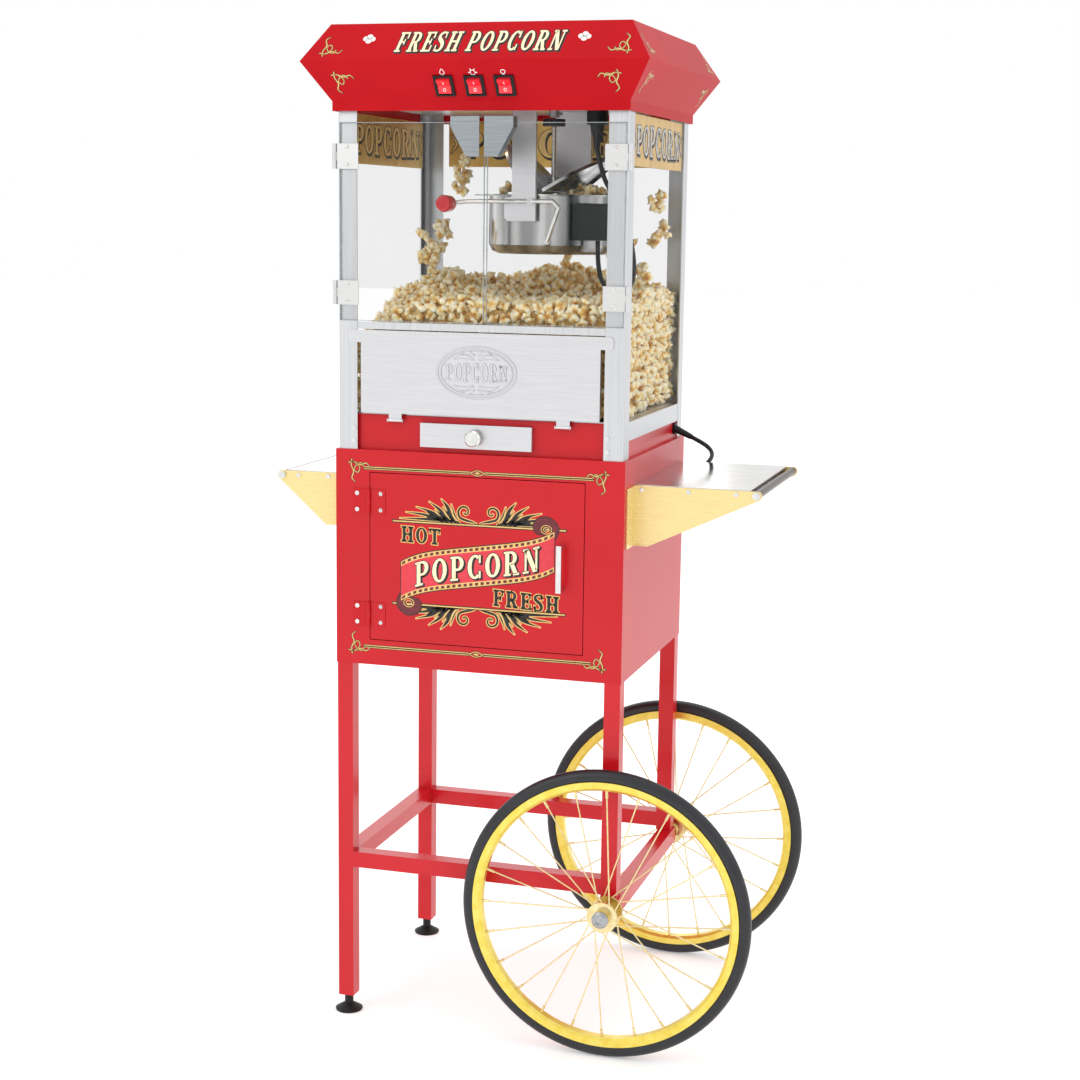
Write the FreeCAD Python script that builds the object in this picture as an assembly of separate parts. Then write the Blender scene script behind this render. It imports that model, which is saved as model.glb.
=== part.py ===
import FreeCAD, Part
import math
import os

os.makedirs("parts", exist_ok=True)
V = FreeCAD.Vector

# A theatre-style popcorn maker on its cart. Millimetres, +Z up, the front faces -Y.
# Everything below is laid out from the middle of the cabinet; SHIFT then moves it along X so that the
# origin is on the floor under the middle of the whole cart, wheels and trays included.
SHIFT = -56.05

# ---- driving dimensions -------------------------------------------------------------------------
SHEET = 1.2                 # painted steel sheet
FIT = 0.05                  # radial clearance of a pin or shaft in its bore

CAB_W, CAB_D = 465.0, 400.0         # cabinet, outside
CAB_Z0, CAB_Z1 = 583.5, 924.0
TUBE, TUBE_WALL = 25.4, 1.5         # square tube of the cart
RAIL_Z = 247.0                      # underside of the cross rails
LEG_TOP = CAB_Z0 + 60.0             # the legs are bolted inside the cabinet's corners
LEG_FOOT_Z = 28.0                   # lower end of the two legs that stand on feet

WHEEL_R = 228.6                     # an 18 inch wheel
WHEEL_X = 222.0
WHEEL_Y = 232.0                     # middle plane of each wheel
TYRE_R = 11.0                       # half the tyre's width
RIM_OUT, RIM_IN, RIM_HALF = 211.0, 197.0, 10.5
HUB_HALF, HUB_R = 26.0, 11.0
FLANGE_R, FLANGE_OFF = 24.0, 16.0
SPOKES = 24
AXLE_R = 6.0

POST_X, POST_Y = 228.5, 197.5       # outer corner of the popper's posts
POST_LEG, POST_T, POST_R = 31.0, 2.0, 4.0
CEIL_Z = 1452.0                     # underside of the ceiling plate
BASE_TOP = 979.0                    # top of the red base box, where the deck lies
SPLIT_X = 9.5                       # the two doors meet right of the middle
DOOR_Z0, DOOR_Z1, DOOR_T = 1123.0, 1421.5, 3.5
DOOR_FACE = POST_Y + 4.0            # distance of the doors' front face from the middle

SKIRT_W, SKIRT_D, SKIRT_Z = 464.4, 421.0, 1437.7
SLOPE_Z = 1452.0                    # where the lower slope starts
CREASE_W, CREASE_D, CREASE_Z = 537.5, 497.5, 1508.5
TOP_W, TOP_D, TOP_Z = 466.2, 421.8, 1565.0

KET_X, KET_R = 56.0, 101.5          # kettle's middle and outer radius
KET_Z0, KET_Z1 = 1226.5, 1318.0
PIVOT_Z = 1307.0                    # the kettle tips about this height
LID_REST_L, LID_REST_R = 50.0, 32.0  # both lids stand open


# ---- helpers ------------------------------------------------------------------------------------
def box(x0, y0, z0, x1, y1, z1):
    return Part.makeBox(x1 - x0, y1 - y0, z1 - z0, V(x0, y0, z0))


def rod(start, end, radius):
    a, b = V(*start), V(*end)
    return Part.makeCylinder(radius, (b - a).Length, a, b - a)


def cone(start, end, r0, r1):
    a, b = V(*start), V(*end)
    return Part.makeCone(r0, r1, (b - a).Length, a, b - a)


def face(points):
    return Part.Face(Part.makePolygon([V(*p) for p in points] + [V(*points[0])]))


def prism_xz(points, y0, y1):
    """An outline in X and Z, pushed from y0 to y1."""
    return face([(x, y0, z) for x, z in points]).extrude(V(0, y1 - y0, 0))


def spin(points, middle, axis):
    """An outline given as (along, radius), turned about the axis through the middle point."""
    along = V(*axis)
    out = V(0, 0, 1) if abs(along.z) < 0.5 else V(1, 0, 0)
    base = V(*middle)
    ring = [base + along * a + out * r for a, r in points]
    return face([(p.x, p.y, p.z) for p in ring]).revolve(base, along, 360)


def fuse(solids):
    return solids[0].fuse(solids[1:]).removeSplitter() if len(solids) > 1 else solids[0]


def mirror_x(shape):
    return shape.mirror(V(0, 0, 0), V(1, 0, 0))


def turn(shape, point, axis, degrees):
    out = shape.copy()
    out.rotate(V(*point), V(*axis), degrees)
    return out


def save(node, *solids):
    """Writes one node, moved into the cart's own frame."""
    shape = solids[0] if len(solids) == 1 else Part.makeCompound(list(solids))
    shape = shape.copy()
    shape.translate(V(SHIFT, 0, 0))
    shape.exportStep("parts/%s.step" % node)


def routed_tube(points, radius, name):
    """A cord: straight runs joined by tangent arcs as large as their runs allow."""
    pts = [V(*p) for p in points]
    edges = []
    start = pts[0]
    radii = []
    for before, corner, after in zip(pts, pts[1:], pts[2:]):
        u = (before - corner).normalize()
        w = (after - corner).normalize()
        half = (math.pi - u.getAngle(w)) / 2
        cut = 0.45 * min((before - corner).Length, (after - corner).Length)
        bend = cut / math.tan(half)
        radii.append(round(bend, 1))
        first, last = corner + u * cut, corner + w * cut
        centre = corner + (u + w).normalize() * (bend / math.cos(half))
        middle = centre + (corner - centre).normalize() * bend
        edges.append(Part.LineSegment(start, first).toShape())
        edges.append(Part.Arc(first, middle, last).toShape())
        start = last
    edges.append(Part.LineSegment(start, pts[-1]).toShape())
    wire = Part.Wire(edges)
    ring = Part.Wire(Part.Circle(pts[0], pts[1] - pts[0], radius).toShape())
    tube = wire.makePipeShell([ring], True, False)
    share = tube.Volume / (math.pi * radius ** 2 * wire.Length)
    print("%s: %.0f mm, radii %s, volume ratio %.3f" % (name, wire.Length, radii, share))
    return tube


def square_tube(x0, y0, z0, x1, y1, z1, along):
    outer = box(x0, y0, z0, x1, y1, z1)
    w = TUBE_WALL
    grow = {"x": (-1, w, w), "y": (w, -1, w), "z": (w, w, -1)}[along]
    inner = box(x0 + grow[0], y0 + grow[1], z0 + grow[2], x1 - grow[0], y1 - grow[1], z1 - grow[2])
    return outer.cut(inner)


def hinge(x, y, z0, z1, fixed_plate, moving_plate, radius, pin_r):
    """A butt hinge on a vertical axis: outer knuckles and pin stay, the middle knuckle turns."""
    gap = 0.3
    third = (z1 - z0) / 3
    low, high = z0 + third, z1 - third
    whole = Part.makeCylinder(radius, z1 - z0, V(x, y, z0))
    middle = Part.makeCylinder(radius, high - low - 2 * gap, V(x, y, low + gap))
    room = Part.makeCylinder(radius + 0.4, high - low, V(x, y, low))
    outer = whole.cut(room)
    pin = Part.makeCylinder(pin_r, z1 - z0, V(x, y, z0))
    fixed = fuse([fixed_plate.cut(room), outer, pin])
    clear = Part.makeCylinder(radius + 0.4, third + gap, V(x, y, z0 - 0.01))
    clear = clear.fuse(Part.makeCylinder(radius + 0.4, third + gap, V(x, y, high - gap + 0.01)))
    bore = Part.makeCylinder(pin_r + FIT, z1 - z0 + 2, V(x, y, z0 - 1))
    moving = fuse([moving_plate.cut(clear), middle]).cut(bore)
    return fixed, moving


# ---- cart frame ---------------------------------------------------------------------------------
LEG_X = CAB_W / 2 - SHEET           # outer faces of the legs
LEG_Y = CAB_D / 2 - SHEET
BEAM_Z0 = WHEEL_R - TUBE / 2
BEAM_Z1 = WHEEL_R + TUBE / 2
FOOT_X = -LEG_X + TUBE / 2
FOOT_Y = LEG_Y - TUBE / 2
STEM_R = 7.0


def leg(side_x, side_y, z0, plug):
    x0, x1 = sorted((side_x * LEG_X, side_x * (LEG_X - TUBE)))
    y0, y1 = sorted((side_y * LEG_Y, side_y * (LEG_Y - TUBE)))
    tube = square_tube(x0, y0, z0, x1, y1, LEG_TOP, "z")
    if not plug:
        return tube
    end = box(x0 + 1, y0 + 1, z0, x1 - 1, y1 - 1, z0 + 14)
    bore = Part.makeCylinder(STEM_R + FIT, 16, V((x0 + x1) / 2, (y0 + y1) / 2, z0 - 1))
    return tube.fuse(end).cut(bore)


inner_x, inner_y = LEG_X - TUBE, LEG_Y - TUBE
rail_top = RAIL_Z + TUBE
save("cart_frame",
     leg(-1, -1, LEG_FOOT_Z, True),
     leg(-1, 1, LEG_FOOT_Z, True),
     leg(1, -1, BEAM_Z1, False),
     leg(1, 1, BEAM_Z1, False),
     square_tube(-inner_x, -LEG_Y, RAIL_Z, inner_x, -inner_y, rail_top, "x"),
     square_tube(-inner_x, inner_y, RAIL_Z, inner_x, LEG_Y, rail_top, "x"),
     square_tube(-LEG_X, -inner_y, RAIL_Z, -inner_x, inner_y, rail_top, "y"))

beam_x0, beam_x1 = WHEEL_X - TUBE / 2, WHEEL_X + TUBE / 2
beam = square_tube(beam_x0, -LEG_Y, BEAM_Z0, beam_x1, LEG_Y, BEAM_Z1, "y")
for end_y in (-LEG_Y, LEG_Y - 20):
    block = box(beam_x0 + 1, end_y, BEAM_Z0 + 1, beam_x1 - 1, end_y + 20, BEAM_Z1 - 1)
    beam = beam.fuse(block)
beam = beam.cut(rod((WHEEL_X, -300, WHEEL_R), (WHEEL_X, 300, WHEEL_R), AXLE_R + FIT))
save("axle_beam", beam)

axle_end = WHEEL_Y + HUB_HALF
nuts = []
for sy in (-1, 1):
    cap = spin([(0.4, AXLE_R + FIT), (0.4, 13), (4, 13), (7, 9), (7, AXLE_R + FIT)],
               (WHEEL_X, sy * axle_end, WHEEL_R), (0, sy, 0))
    spacer = spin([(0.3, AXLE_R + FIT), (0.3, 10), (6.9, 10), (6.9, AXLE_R + FIT)],
                  (WHEEL_X, sy * LEG_Y, WHEEL_R), (0, sy, 0))
    nuts += [cap, spacer]
axle = rod((WHEEL_X, -axle_end - 6, WHEEL_R), (WHEEL_X, axle_end + 6, WHEEL_R), AXLE_R)
save("axle_and_nuts", axle, *nuts)

foot_profile = [(0, 0), (0, 21), (3, 22), (6, 17), (11, 9), (12, STEM_R), (40, STEM_R), (40, 0)]
for side, name in ((-1, "front_foot"), (1, "rear_foot")):
    save(name, spin(foot_profile, (FOOT_X, side * FOOT_Y, 0), (0, 0, 1)))


# ---- wheels -------------------------------------------------------------------------------------
def tyre(y):
    bead = RIM_HALF - 2.6
    tread_mid = WHEEL_R - TYRE_R
    lip = RIM_OUT + FIT
    shoulder = math.sqrt(TYRE_R ** 2 - (tread_mid - lip) ** 2)
    groove = RIM_OUT - 6 + FIT
    at = [V(WHEEL_X, y + a, WHEEL_R + r) for a, r in
          ((-bead, groove), (bead, groove), (bead, lip), (shoulder, lip), (-shoulder, lip), (-bead, lip))]
    top = V(WHEEL_X, y, WHEEL_R + WHEEL_R)
    edges = [Part.LineSegment(at[0], at[1]), Part.LineSegment(at[1], at[2]), Part.LineSegment(at[2], at[3]),
             Part.Arc(at[3], top, at[4]), Part.LineSegment(at[4], at[5]), Part.LineSegment(at[5], at[0])]
    wire = Part.Wire([e.toShape() for e in edges])
    return Part.Face(wire).revolve(V(WHEEL_X, y, WHEEL_R), V(0, 1, 0), 360)


def rim(y):
    h, g = RIM_HALF, RIM_HALF - 2.5
    outline = [(-h, RIM_OUT), (-h, RIM_IN + 4), (-h + 4, RIM_IN), (h - 4, RIM_IN), (h, RIM_IN + 4), (h, RIM_OUT),
               (g, RIM_OUT), (g, RIM_OUT - 6), (-g, RIM_OUT - 6), (-g, RIM_OUT)]
    return spin(outline, (WHEEL_X, y, WHEEL_R), (0, 1, 0))


def hub(y):
    f, t, e = FLANGE_OFF, 1.6, HUB_HALF
    bore = AXLE_R + FIT
    outline = [(-e, bore), (-e, 13), (-f - t, 13), (-f - t, FLANGE_R), (-f + t, FLANGE_R), (-f + t, HUB_R),
               (f - t, HUB_R), (f - t, FLANGE_R), (f + t, FLANGE_R), (f + t, 13), (e, 13), (e, bore)]
    return spin(outline, (WHEEL_X, y, WHEEL_R), (0, 1, 0))


def spokes(y):
    """Each flange's spokes lean one way round, so that the two sets cross without touching."""
    out = []
    lean = math.radians(34)
    for i in range(SPOKES):
        side = 1 if i % 2 else -1
        a = 2 * math.pi * i / SPOKES
        b = a + side * lean
        hole = V(WHEEL_X + 20 * math.cos(b), y + side * FLANGE_OFF, WHEEL_R + 20 * math.sin(b))
        seat = V(WHEEL_X + (RIM_IN + 1) * math.cos(a), y + side * 2, WHEEL_R + (RIM_IN + 1) * math.sin(a))
        along = (seat - hole).normalize()
        wire = Part.makeCylinder(1.1, (seat - hole).Length, hole, along)
        nipple = Part.makeCylinder(2.1, 13, seat - along * 13, along)
        out.append(wire.fuse(nipple))
    return out


for side, name in ((-1, "near"), (1, "far")):
    y = side * WHEEL_Y
    save(name + "_tyre", tyre(y))
    save(name + "_rim", rim(y))
    save(name + "_hub", hub(y))
    save(name + "_spokes", *spokes(y))

# ---- cabinet ------------------------------------------------------------------------------------
cw, cd = CAB_W / 2, CAB_D / 2
DOOR_HINGE_X = -177.2
OPEN_X0, OPEN_X1 = -176.6, 171.6
OPEN_Z0, OPEN_Z1 = 623.5, 889.5
GAP = 1.2
shell = box(-cw, -cd, CAB_Z0, cw, cd, CAB_Z1).cut(
    box(-cw + SHEET, -cd + SHEET, CAB_Z0 - 1, cw - SHEET, cd - SHEET, CAB_Z1 + 1))
shell = shell.cut(box(OPEN_X0, -cd - 1, OPEN_Z0, OPEN_X1, -cd + SHEET + 1, OPEN_Z1))
save("cabinet_shell", shell)

top_plate = box(-cw + SHEET, -cd + SHEET, CAB_Z1 - SHEET, cw - SHEET, cd - SHEET, CAB_Z1)
floor_plate = box(-cw + SHEET, -cd + SHEET, CAB_Z0 + 2, cw - SHEET, cd - SHEET, CAB_Z0 + 2 + SHEET)
for sx in (-1, 1):
    for sy in (-1, 1):
        x0, x1 = sorted((sx * (LEG_X + 1), sx * (LEG_X - TUBE - 0.2)))
        y0, y1 = sorted((sy * (LEG_Y + 1), sy * (LEG_Y - TUBE - 0.2)))
        floor_plate = floor_plate.cut(box(x0, y0, CAB_Z0, x1, y1, CAB_Z0 + 9))
save("cabinet_plates", top_plate, floor_plate)

door_x0, door_x1 = OPEN_X0 + GAP, OPEN_X1 - GAP
door_z0, door_z1 = OPEN_Z0 + GAP, OPEN_Z1 - GAP
cab_door = box(door_x0, -cd, door_z0, door_x1, -cd + 15, door_z1).cut(
    box(door_x0 + SHEET, -cd + SHEET, door_z0 + SHEET, door_x1 - SHEET, -cd + 16, door_z1 - SHEET))
save("cabinet_door", cab_door)

BOW_X, BOW_Z0, BOW_Z1 = 137.0, 722.0, 794.5
bow = box(BOW_X - 4, -cd - 22, BOW_Z0, BOW_X + 4, -cd - 0.1, BOW_Z1).cut(
    box(BOW_X - 5, -cd - 18, BOW_Z0 + 7, BOW_X + 5, -cd + 1, BOW_Z1 - 7))
save("cabinet_handle", bow)

cab_leaf_y = -cd - 1.3
fixed_leaves = []
moving_leaves = []
for z0, z1 in ((645.5, 683.5), (825.0, 863.0)):
    fixed_plate = box(DOOR_HINGE_X - 26, cab_leaf_y, z0, DOOR_HINGE_X, -cd - 0.1, z1)
    moving_plate = box(DOOR_HINGE_X, cab_leaf_y, z0, DOOR_HINGE_X + 27, -cd - 0.1, z1)
    a, b = hinge(DOOR_HINGE_X, -cd - 3.3, z0, z1, fixed_plate, moving_plate, 3.0, 1.3)
    fixed_leaves.append(a)
    moving_leaves.append(b)
save("cabinet_hinge_leaves", *moving_leaves)

# ---- serving trays ------------------------------------------------------------------------------
TRAY_Z = 884.0


def tray(wall_x, out, side, y0, y1):
    a, b = wall_x + 0.2, wall_x + out
    plate = box(a, y0, TRAY_Z - SHEET, b, y1, TRAY_Z)
    rim_edge = box(b - SHEET, y0, TRAY_Z - 10, b, y1, TRAY_Z)
    back = box(a, y0 + 26, TRAY_Z - 14, a + SHEET, y1 - 26, TRAY_Z)
    shape = fuse([plate, rim_edge, back])
    return shape if side > 0 else mirror_x(shape)


def gusset(wall_x, reach, drop, end_r, side, y, flange_y):
    """A side plate with its wall flange, tapering to a round end that holds the bar."""
    top = TRAY_Z - SHEET - 0.1
    bar_x, bar_z = wall_x + reach, TRAY_Z - 8.0
    slope = math.atan2(drop - 16, reach - 24)
    heel = (wall_x + 24, top - drop)
    tip = (bar_x + end_r * math.sin(slope), bar_z - end_r * math.cos(slope))
    outline = [(wall_x + 0.2, top), (wall_x + 0.2, top - drop), heel, tip, (bar_x, top)]
    plate = prism_xz(outline, y, y + 1.5)
    nose = Part.makeCylinder(end_r, 1.5, V(bar_x, y, bar_z), V(0, 1, 0))
    y0, y1 = sorted((flange_y, y + 1.5))
    flange = box(wall_x + 0.2, y0, top - drop, wall_x + 1.7, y1, top - 1)
    trim = box(wall_x - 50, y - 50, top, bar_x + 50, y + 50, top + 50)
    shape = fuse([plate, nose, flange]).cut(trim)
    return shape if side > 0 else mirror_x(shape)


TRAY_R = dict(y0=-148.0, y1=172.0, out=181.0, reach=190.0, drop=93.0, side=1)
TRAY_L = dict(y0=-184.0, y1=136.0, out=89.0, reach=98.0, drop=83.0, side=-1)
BAR_R = 6.0
plates = []
gussets = []
bars = []
for t in (TRAY_R, TRAY_L):
    side = t["side"]
    plates.append(tray(cw, t["out"], side, t["y0"] + 1.6, t["y1"] - 1.6))
    gussets.append(gusset(cw, t["reach"], t["drop"], 8.0, side, t["y0"], t["y0"] - 40 if side > 0 else t["y0"] + 22))
    gussets.append(gusset(cw, t["reach"], t["drop"], 8.0, side, t["y1"] - 1.5, t["y1"] - 24))
    bar_x = side * (cw + t["reach"])
    bars.append(rod((bar_x, t["y0"] + 1.6, TRAY_Z - 8), (bar_x, t["y1"] - 1.6, TRAY_Z - 8), BAR_R))
save("serving_trays", *plates)
save("tray_gussets", *gussets)
save("tray_bars", *bars)

# ---- popper base, drawer and deck ---------------------------------------------------------------
bx, by_front, by_back = 226.0, -189.5, 195.0
DRAWER_X0, DRAWER_X1 = -93.5, 85.5
base = box(-bx, by_front, CAB_Z1 + 0.1, bx, by_back, BASE_TOP).cut(
    box(-bx + SHEET, by_front + SHEET, CAB_Z1 + 0.1 + SHEET, bx - SHEET, by_back - SHEET, BASE_TOP + 1))
base = base.cut(box(DRAWER_X0 + 4, by_front - 1, 934, DRAWER_X1 - 4, by_front + 3, 966))
runners = []
for x, toe in ((DRAWER_X0 + 4.5, 5), (DRAWER_X1 - 4.5, -5)):
    x0, x1 = sorted((x, x - 1.2 * toe / 5))
    x2, x3 = sorted((x, x + toe))
    runners.append(fuse([box(x0, -188, CAB_Z1 + 1.5, x1, -10, 948), box(x2, -188, 934.4, x3, -10, 935.6)]))
save("popper_base", base, *runners)

tray_x0, tray_x1 = DRAWER_X0 + 6, DRAWER_X1 - 6
front_y = by_front - 10
drawer_front = box(DRAWER_X0, front_y, 932.5, DRAWER_X1, by_front - 0.5, 969.4).cut(
    box(DRAWER_X0 + 1, front_y + 1, 933.5, DRAWER_X1 - 1, by_front + 1, 968.4))
drawer_pan = box(tray_x0, front_y + 0.5, 936, tray_x1, -12, 964).cut(
    box(tray_x0 + 1, front_y + 1, 937, tray_x1 - 1, -13, 965))
save("crumb_drawer", drawer_front.fuse(drawer_pan))
knob_y = by_front - 10.05
KNOB_X, KNOB_Z = -5.0, 949.5
save("drawer_knob", spin([(0, 0), (0, 5), (4, 4), (6, 10), (8, 12.4), (13, 12.4), (15, 10.5), (15, 0)],
                         (KNOB_X, knob_y, KNOB_Z), (0, -1, 0)))

deck = box(-219, -187.5, BASE_TOP + 0.1, 219, 187.5, BASE_TOP + 1.6)
DECK_PITCH = 24.0
holes = [Part.makeCylinder(4.5, 4, V(-4 + i * DECK_PITCH, -100 + j * DECK_PITCH, BASE_TOP - 1))
         for i in range(-3, 4) for j in range(-2, 3)]
save("popcorn_deck", deck.cut(Part.makeCompound(holes)))

# ---- posts, rails and panes ---------------------------------------------------------------------
def corner_post(sx, sy):
    x1, y1 = POST_X, POST_Y
    outer = box(x1 - POST_LEG, y1 - POST_LEG - 1, CAB_Z1 + 0.1, x1, y1, CEIL_Z - 0.1)
    edge = [e for e in outer.Edges if e.Length > 400 and abs(e.CenterOfMass.x - x1) < 1
            and abs(e.CenterOfMass.y - y1) < 1]
    outer = outer.makeFillet(POST_R, edge)
    inner = box(x1 - POST_LEG - 5, y1 - POST_LEG - 5, CAB_Z1 - 1, x1 - POST_T, y1 - POST_T, CEIL_Z + 1)
    shape = outer.cut(inner)
    if sx < 0:
        shape = mirror_x(shape)
    return shape if sy > 0 else shape.mirror(V(0, 0, 0), V(0, 1, 0))


save("corner_posts", corner_post(-1, -1), corner_post(1, -1), corner_post(-1, 1), corner_post(1, 1))

SIDE_RAIL_Z0, SIDE_RAIL_Z1 = 952.0, 979.0
rail_y = POST_Y - POST_LEG - 1
side_rail = fuse([
    box(bx + 0.2, -rail_y + 0.3, SIDE_RAIL_Z0, POST_X - 0.3, rail_y - 0.3, SIDE_RAIL_Z1),
    box(bx - 6, -rail_y + 0.3, SIDE_RAIL_Z1, POST_X - 0.3, rail_y - 0.3, SIDE_RAIL_Z1 + 1.5)])
side_rail = side_rail.cut(box(0, -200, SIDE_RAIL_Z1 - 5, bx + 0.1, 200, SIDE_RAIL_Z1))
front_rail = box(-POST_X + POST_LEG + 0.3, -POST_Y + 0.3, 1110.5, POST_X - POST_LEG - 0.3, -POST_Y + 9, 1121.5)
rear_rail = box(-POST_X + POST_LEG + 0.3, by_back + 0.3, SIDE_RAIL_Z0, POST_X - POST_LEG - 0.3,
                by_back + 2.2, SIDE_RAIL_Z1)
save("panel_rails", side_rail, mirror_x(side_rail), front_rail, rear_rail)

PANE_Z0, PANE_Z1 = SIDE_RAIL_Z1 + 1.8, CEIL_Z - 0.5
side_pane = box(222.5, -188.5, PANE_Z0, 225.5, 188.5, PANE_Z1)
rear_pane = box(-221.5, 189, PANE_Z0, 221.5, 192, PANE_Z1)
save("fixed_panes", mirror_x(side_pane), side_pane, rear_pane)

# ---- front doors --------------------------------------------------------------------------------
AXIS_X, AXIS_Y = POST_X + 3.5, -POST_Y - 6.0
HINGE_Z = ((1147.0, 1184.0), (1352.0, 1390.0))
face_y = -DOOR_FACE


def door_parts(side, meet_x):
    """One clear door with its two hinges and its pull, made for the left side or its mirror."""
    far = meet_x * (1 if side < 0 else -1)
    plate = box(-POST_X + 3.5, face_y, DOOR_Z0, far, face_y + DOOR_T, DOOR_Z1)
    fixed_set = []
    leaf_set = []
    for z0, z1 in HINGE_Z:
        third = (z1 - z0) / 3
        fixed_plate = box(-POST_X - 1.3, AXIS_Y + 4.5, z0, -POST_X - 0.1, AXIS_Y + 28, z1)
        for low in (z0, z1 - third):
            fixed_plate = fixed_plate.fuse(box(-POST_X - 1.3, AXIS_Y, low, -POST_X - 0.1, AXIS_Y + 6, low + third))
        moving_plate = box(-AXIS_X, face_y - 1.4, z0 + third + 0.3, -193.5, face_y - 0.1, z1 - third - 0.3)
        moving_plate = moving_plate.fuse(box(-POST_X + 0.6, face_y - 1.4, z0, -193.5, face_y - 0.1, z1))
        a, b = hinge(-AXIS_X, AXIS_Y, z0, z1, fixed_plate, moving_plate, 3.3, 1.4)
        fixed_set.append(a)
        leaf_set.append(b)
    outer = [(far - 2, 1429.5), (far - 47, 1429.5), (far - 47, 1414), (far - 23, 1371), (far - 2, 1371)]
    inner = [(far + 1, 1428.3), (far - 45.8, 1428.3), (far - 45.8, 1414.3), (far - 22.3, 1372.2),
             (far + 1, 1372.2)]
    pull = prism_xz(outer, face_y - 20, face_y - 0.1).cut(prism_xz(inner, face_y - 18.8, face_y + 1))
    shapes = [plate, fixed_set, leaf_set, pull]
    if side > 0:
        shapes = [mirror_x(plate), [mirror_x(s) for s in fixed_set], [mirror_x(s) for s in leaf_set], mirror_x(pull)]
    return shapes


for side, name, meet in ((-1, "left", SPLIT_X - 1.8), (1, "right", SPLIT_X + 1.8)):
    plate, fixed_set, leaf_set, pull = door_parts(side, meet)
    save(name + "_door", plate)
    save(name + "_door_fittings", pull, *leaf_set)
    fixed_leaves += fixed_set

# ---- drop front ---------------------------------------------------------------------------------
APRON_Z0, APRON_Z1, APRON_HALF = 982.0, 1109.0, 191.0
EAR_X, EAR_Z = 211.0, 1090.0
sheet_back = -POST_Y - 0.6
sheet_front = sheet_back - SHEET
PIVOT_Y, PIVOT_LOW = sheet_front + 0.2, 971.5
apron = box(-APRON_HALF, sheet_front, APRON_Z0, APRON_HALF, sheet_back, APRON_Z1)
lugs = []
for sx in (-1, 1):
    x0, x1 = sorted((sx * (APRON_HALF - 1), sx * EAR_X))
    ear = box(x0, sheet_front, EAR_Z, x1, sheet_back, APRON_Z1)
    ear_edges = [e for e in ear.Edges if abs(e.CenterOfMass.x - sx * EAR_X) < 0.1 and abs(e.Length - 1.2) < 0.01]
    x2, x3 = sorted((sx * APRON_HALF, sx * (APRON_HALF - 1.2)))
    flange = box(x2, sheet_back - 0.1, APRON_Z0 + 4, x3, sheet_back + 8, APRON_Z1 - 2)
    x4, x5 = sorted((sx * 124, sx * 145))
    tab = box(x4, sheet_front, PIVOT_LOW, x5, sheet_back, APRON_Z0 + 1)
    curl = rod((x4, PIVOT_Y, PIVOT_LOW), (x5, PIVOT_Y, PIVOT_LOW), 2.4)
    apron = fuse([apron, ear.makeFillet(6, ear_edges), flange, tab, curl])
    apron = apron.cut(rod((x4 - 1, PIVOT_Y, PIVOT_LOW), (x5 + 1, PIVOT_Y, PIVOT_LOW), 1.2 + FIT))
    pin = rod((x4 - 2.3, PIVOT_Y, PIVOT_LOW), (x5 + 2.3, PIVOT_Y, PIVOT_LOW), 1.2)
    cheeks = [box(x, PIVOT_Y - 2.2, PIVOT_LOW - 2.2, x + 1.8, by_front - 0.1, PIVOT_LOW + 2.2)
              for x in (x4 - 2.3, x5 + 0.5)]
    lugs.append(fuse([pin] + cheeks))
save("drop_front", apron)
save("hinge_brackets", *fixed_leaves, *lugs)

# ---- roof ---------------------------------------------------------------------------------------
def slab_wire(w, d, z):
    pts = [V(-w / 2, -d / 2, z), V(w / 2, -d / 2, z), V(w / 2, d / 2, z), V(-w / 2, d / 2, z)]
    return Part.makePolygon(pts + [pts[0]])


def canopy(shrink, low, high):
    levels = [(SKIRT_W, SKIRT_D, low), (SKIRT_W, SKIRT_D, SLOPE_Z), (CREASE_W, CREASE_D, CREASE_Z),
              (TOP_W, TOP_D, high)]
    wires = [slab_wire(w - 2 * shrink, d - 2 * shrink, z) for w, d, z in levels]
    return fuse([Part.makeLoft([a, b], True, True) for a, b in zip(wires, wires[1:])])


roof = canopy(0, SKIRT_Z, TOP_Z).cut(canopy(SHEET * 1.2, SKIRT_Z - 1, TOP_Z - SHEET))
SLOPE = math.degrees(math.atan2((CREASE_D - SKIRT_D) / 2, CREASE_Z - SLOPE_Z))
SWITCHES = (("kettle_switch", -47.5), ("motor_switch", 0.0), ("lamp_switch", 46.5))
SWITCH_Z = 1473.5
switch_y = -SKIRT_D / 2 - (SWITCH_Z - SLOPE_Z) * math.tan(math.radians(SLOPE))


def on_slope(shape, x):
    """Carries a shape made at the origin, facing -Y, onto the roof's lower front slope."""
    out = turn(shape, (0, 0, 0), (1, 0, 0), SLOPE)
    out.translate(V(x, switch_y, SWITCH_Z))
    return out


HOLE_W, HOLE_H = 10.6, 14.2
ROCKER_PIN_Y = 5.0
bezels = []
for name, x in SWITCHES:
    cut = on_slope(box(-HOLE_W - 1.5, -4, -HOLE_H - 1.5, HOLE_W + 1.5, 12, HOLE_H + 1.5), x)
    roof = roof.cut(cut)
    frame = fuse([box(-15, -3, -17, 15, -0.1, 17), box(-HOLE_W - 1.3, -1, -HOLE_H - 1.3, HOLE_W + 1.3, 14, HOLE_H + 1.3)])
    frame = frame.cut(box(-HOLE_W, -4, -HOLE_H, HOLE_W, 11, HOLE_H))
    bezels.append(on_slope(frame, x))
    side_view = [(3, -11.6), (-4.2, -11.6), (-2.4, 0), (-7.0, 11.6), (3, 11.6), (8, 4), (8, -4)]
    key = face([(-9.8, y, z) for y, z in side_view]).extrude(V(19.6, 0, 0))
    key = key.fuse(rod((-10.35, ROCKER_PIN_Y, 0), (10.35, ROCKER_PIN_Y, 0), 2.2))
    save(name, on_slope(key, x))
save("roof_canopy", roof)
save("switch_bezels", *bezels)

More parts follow.
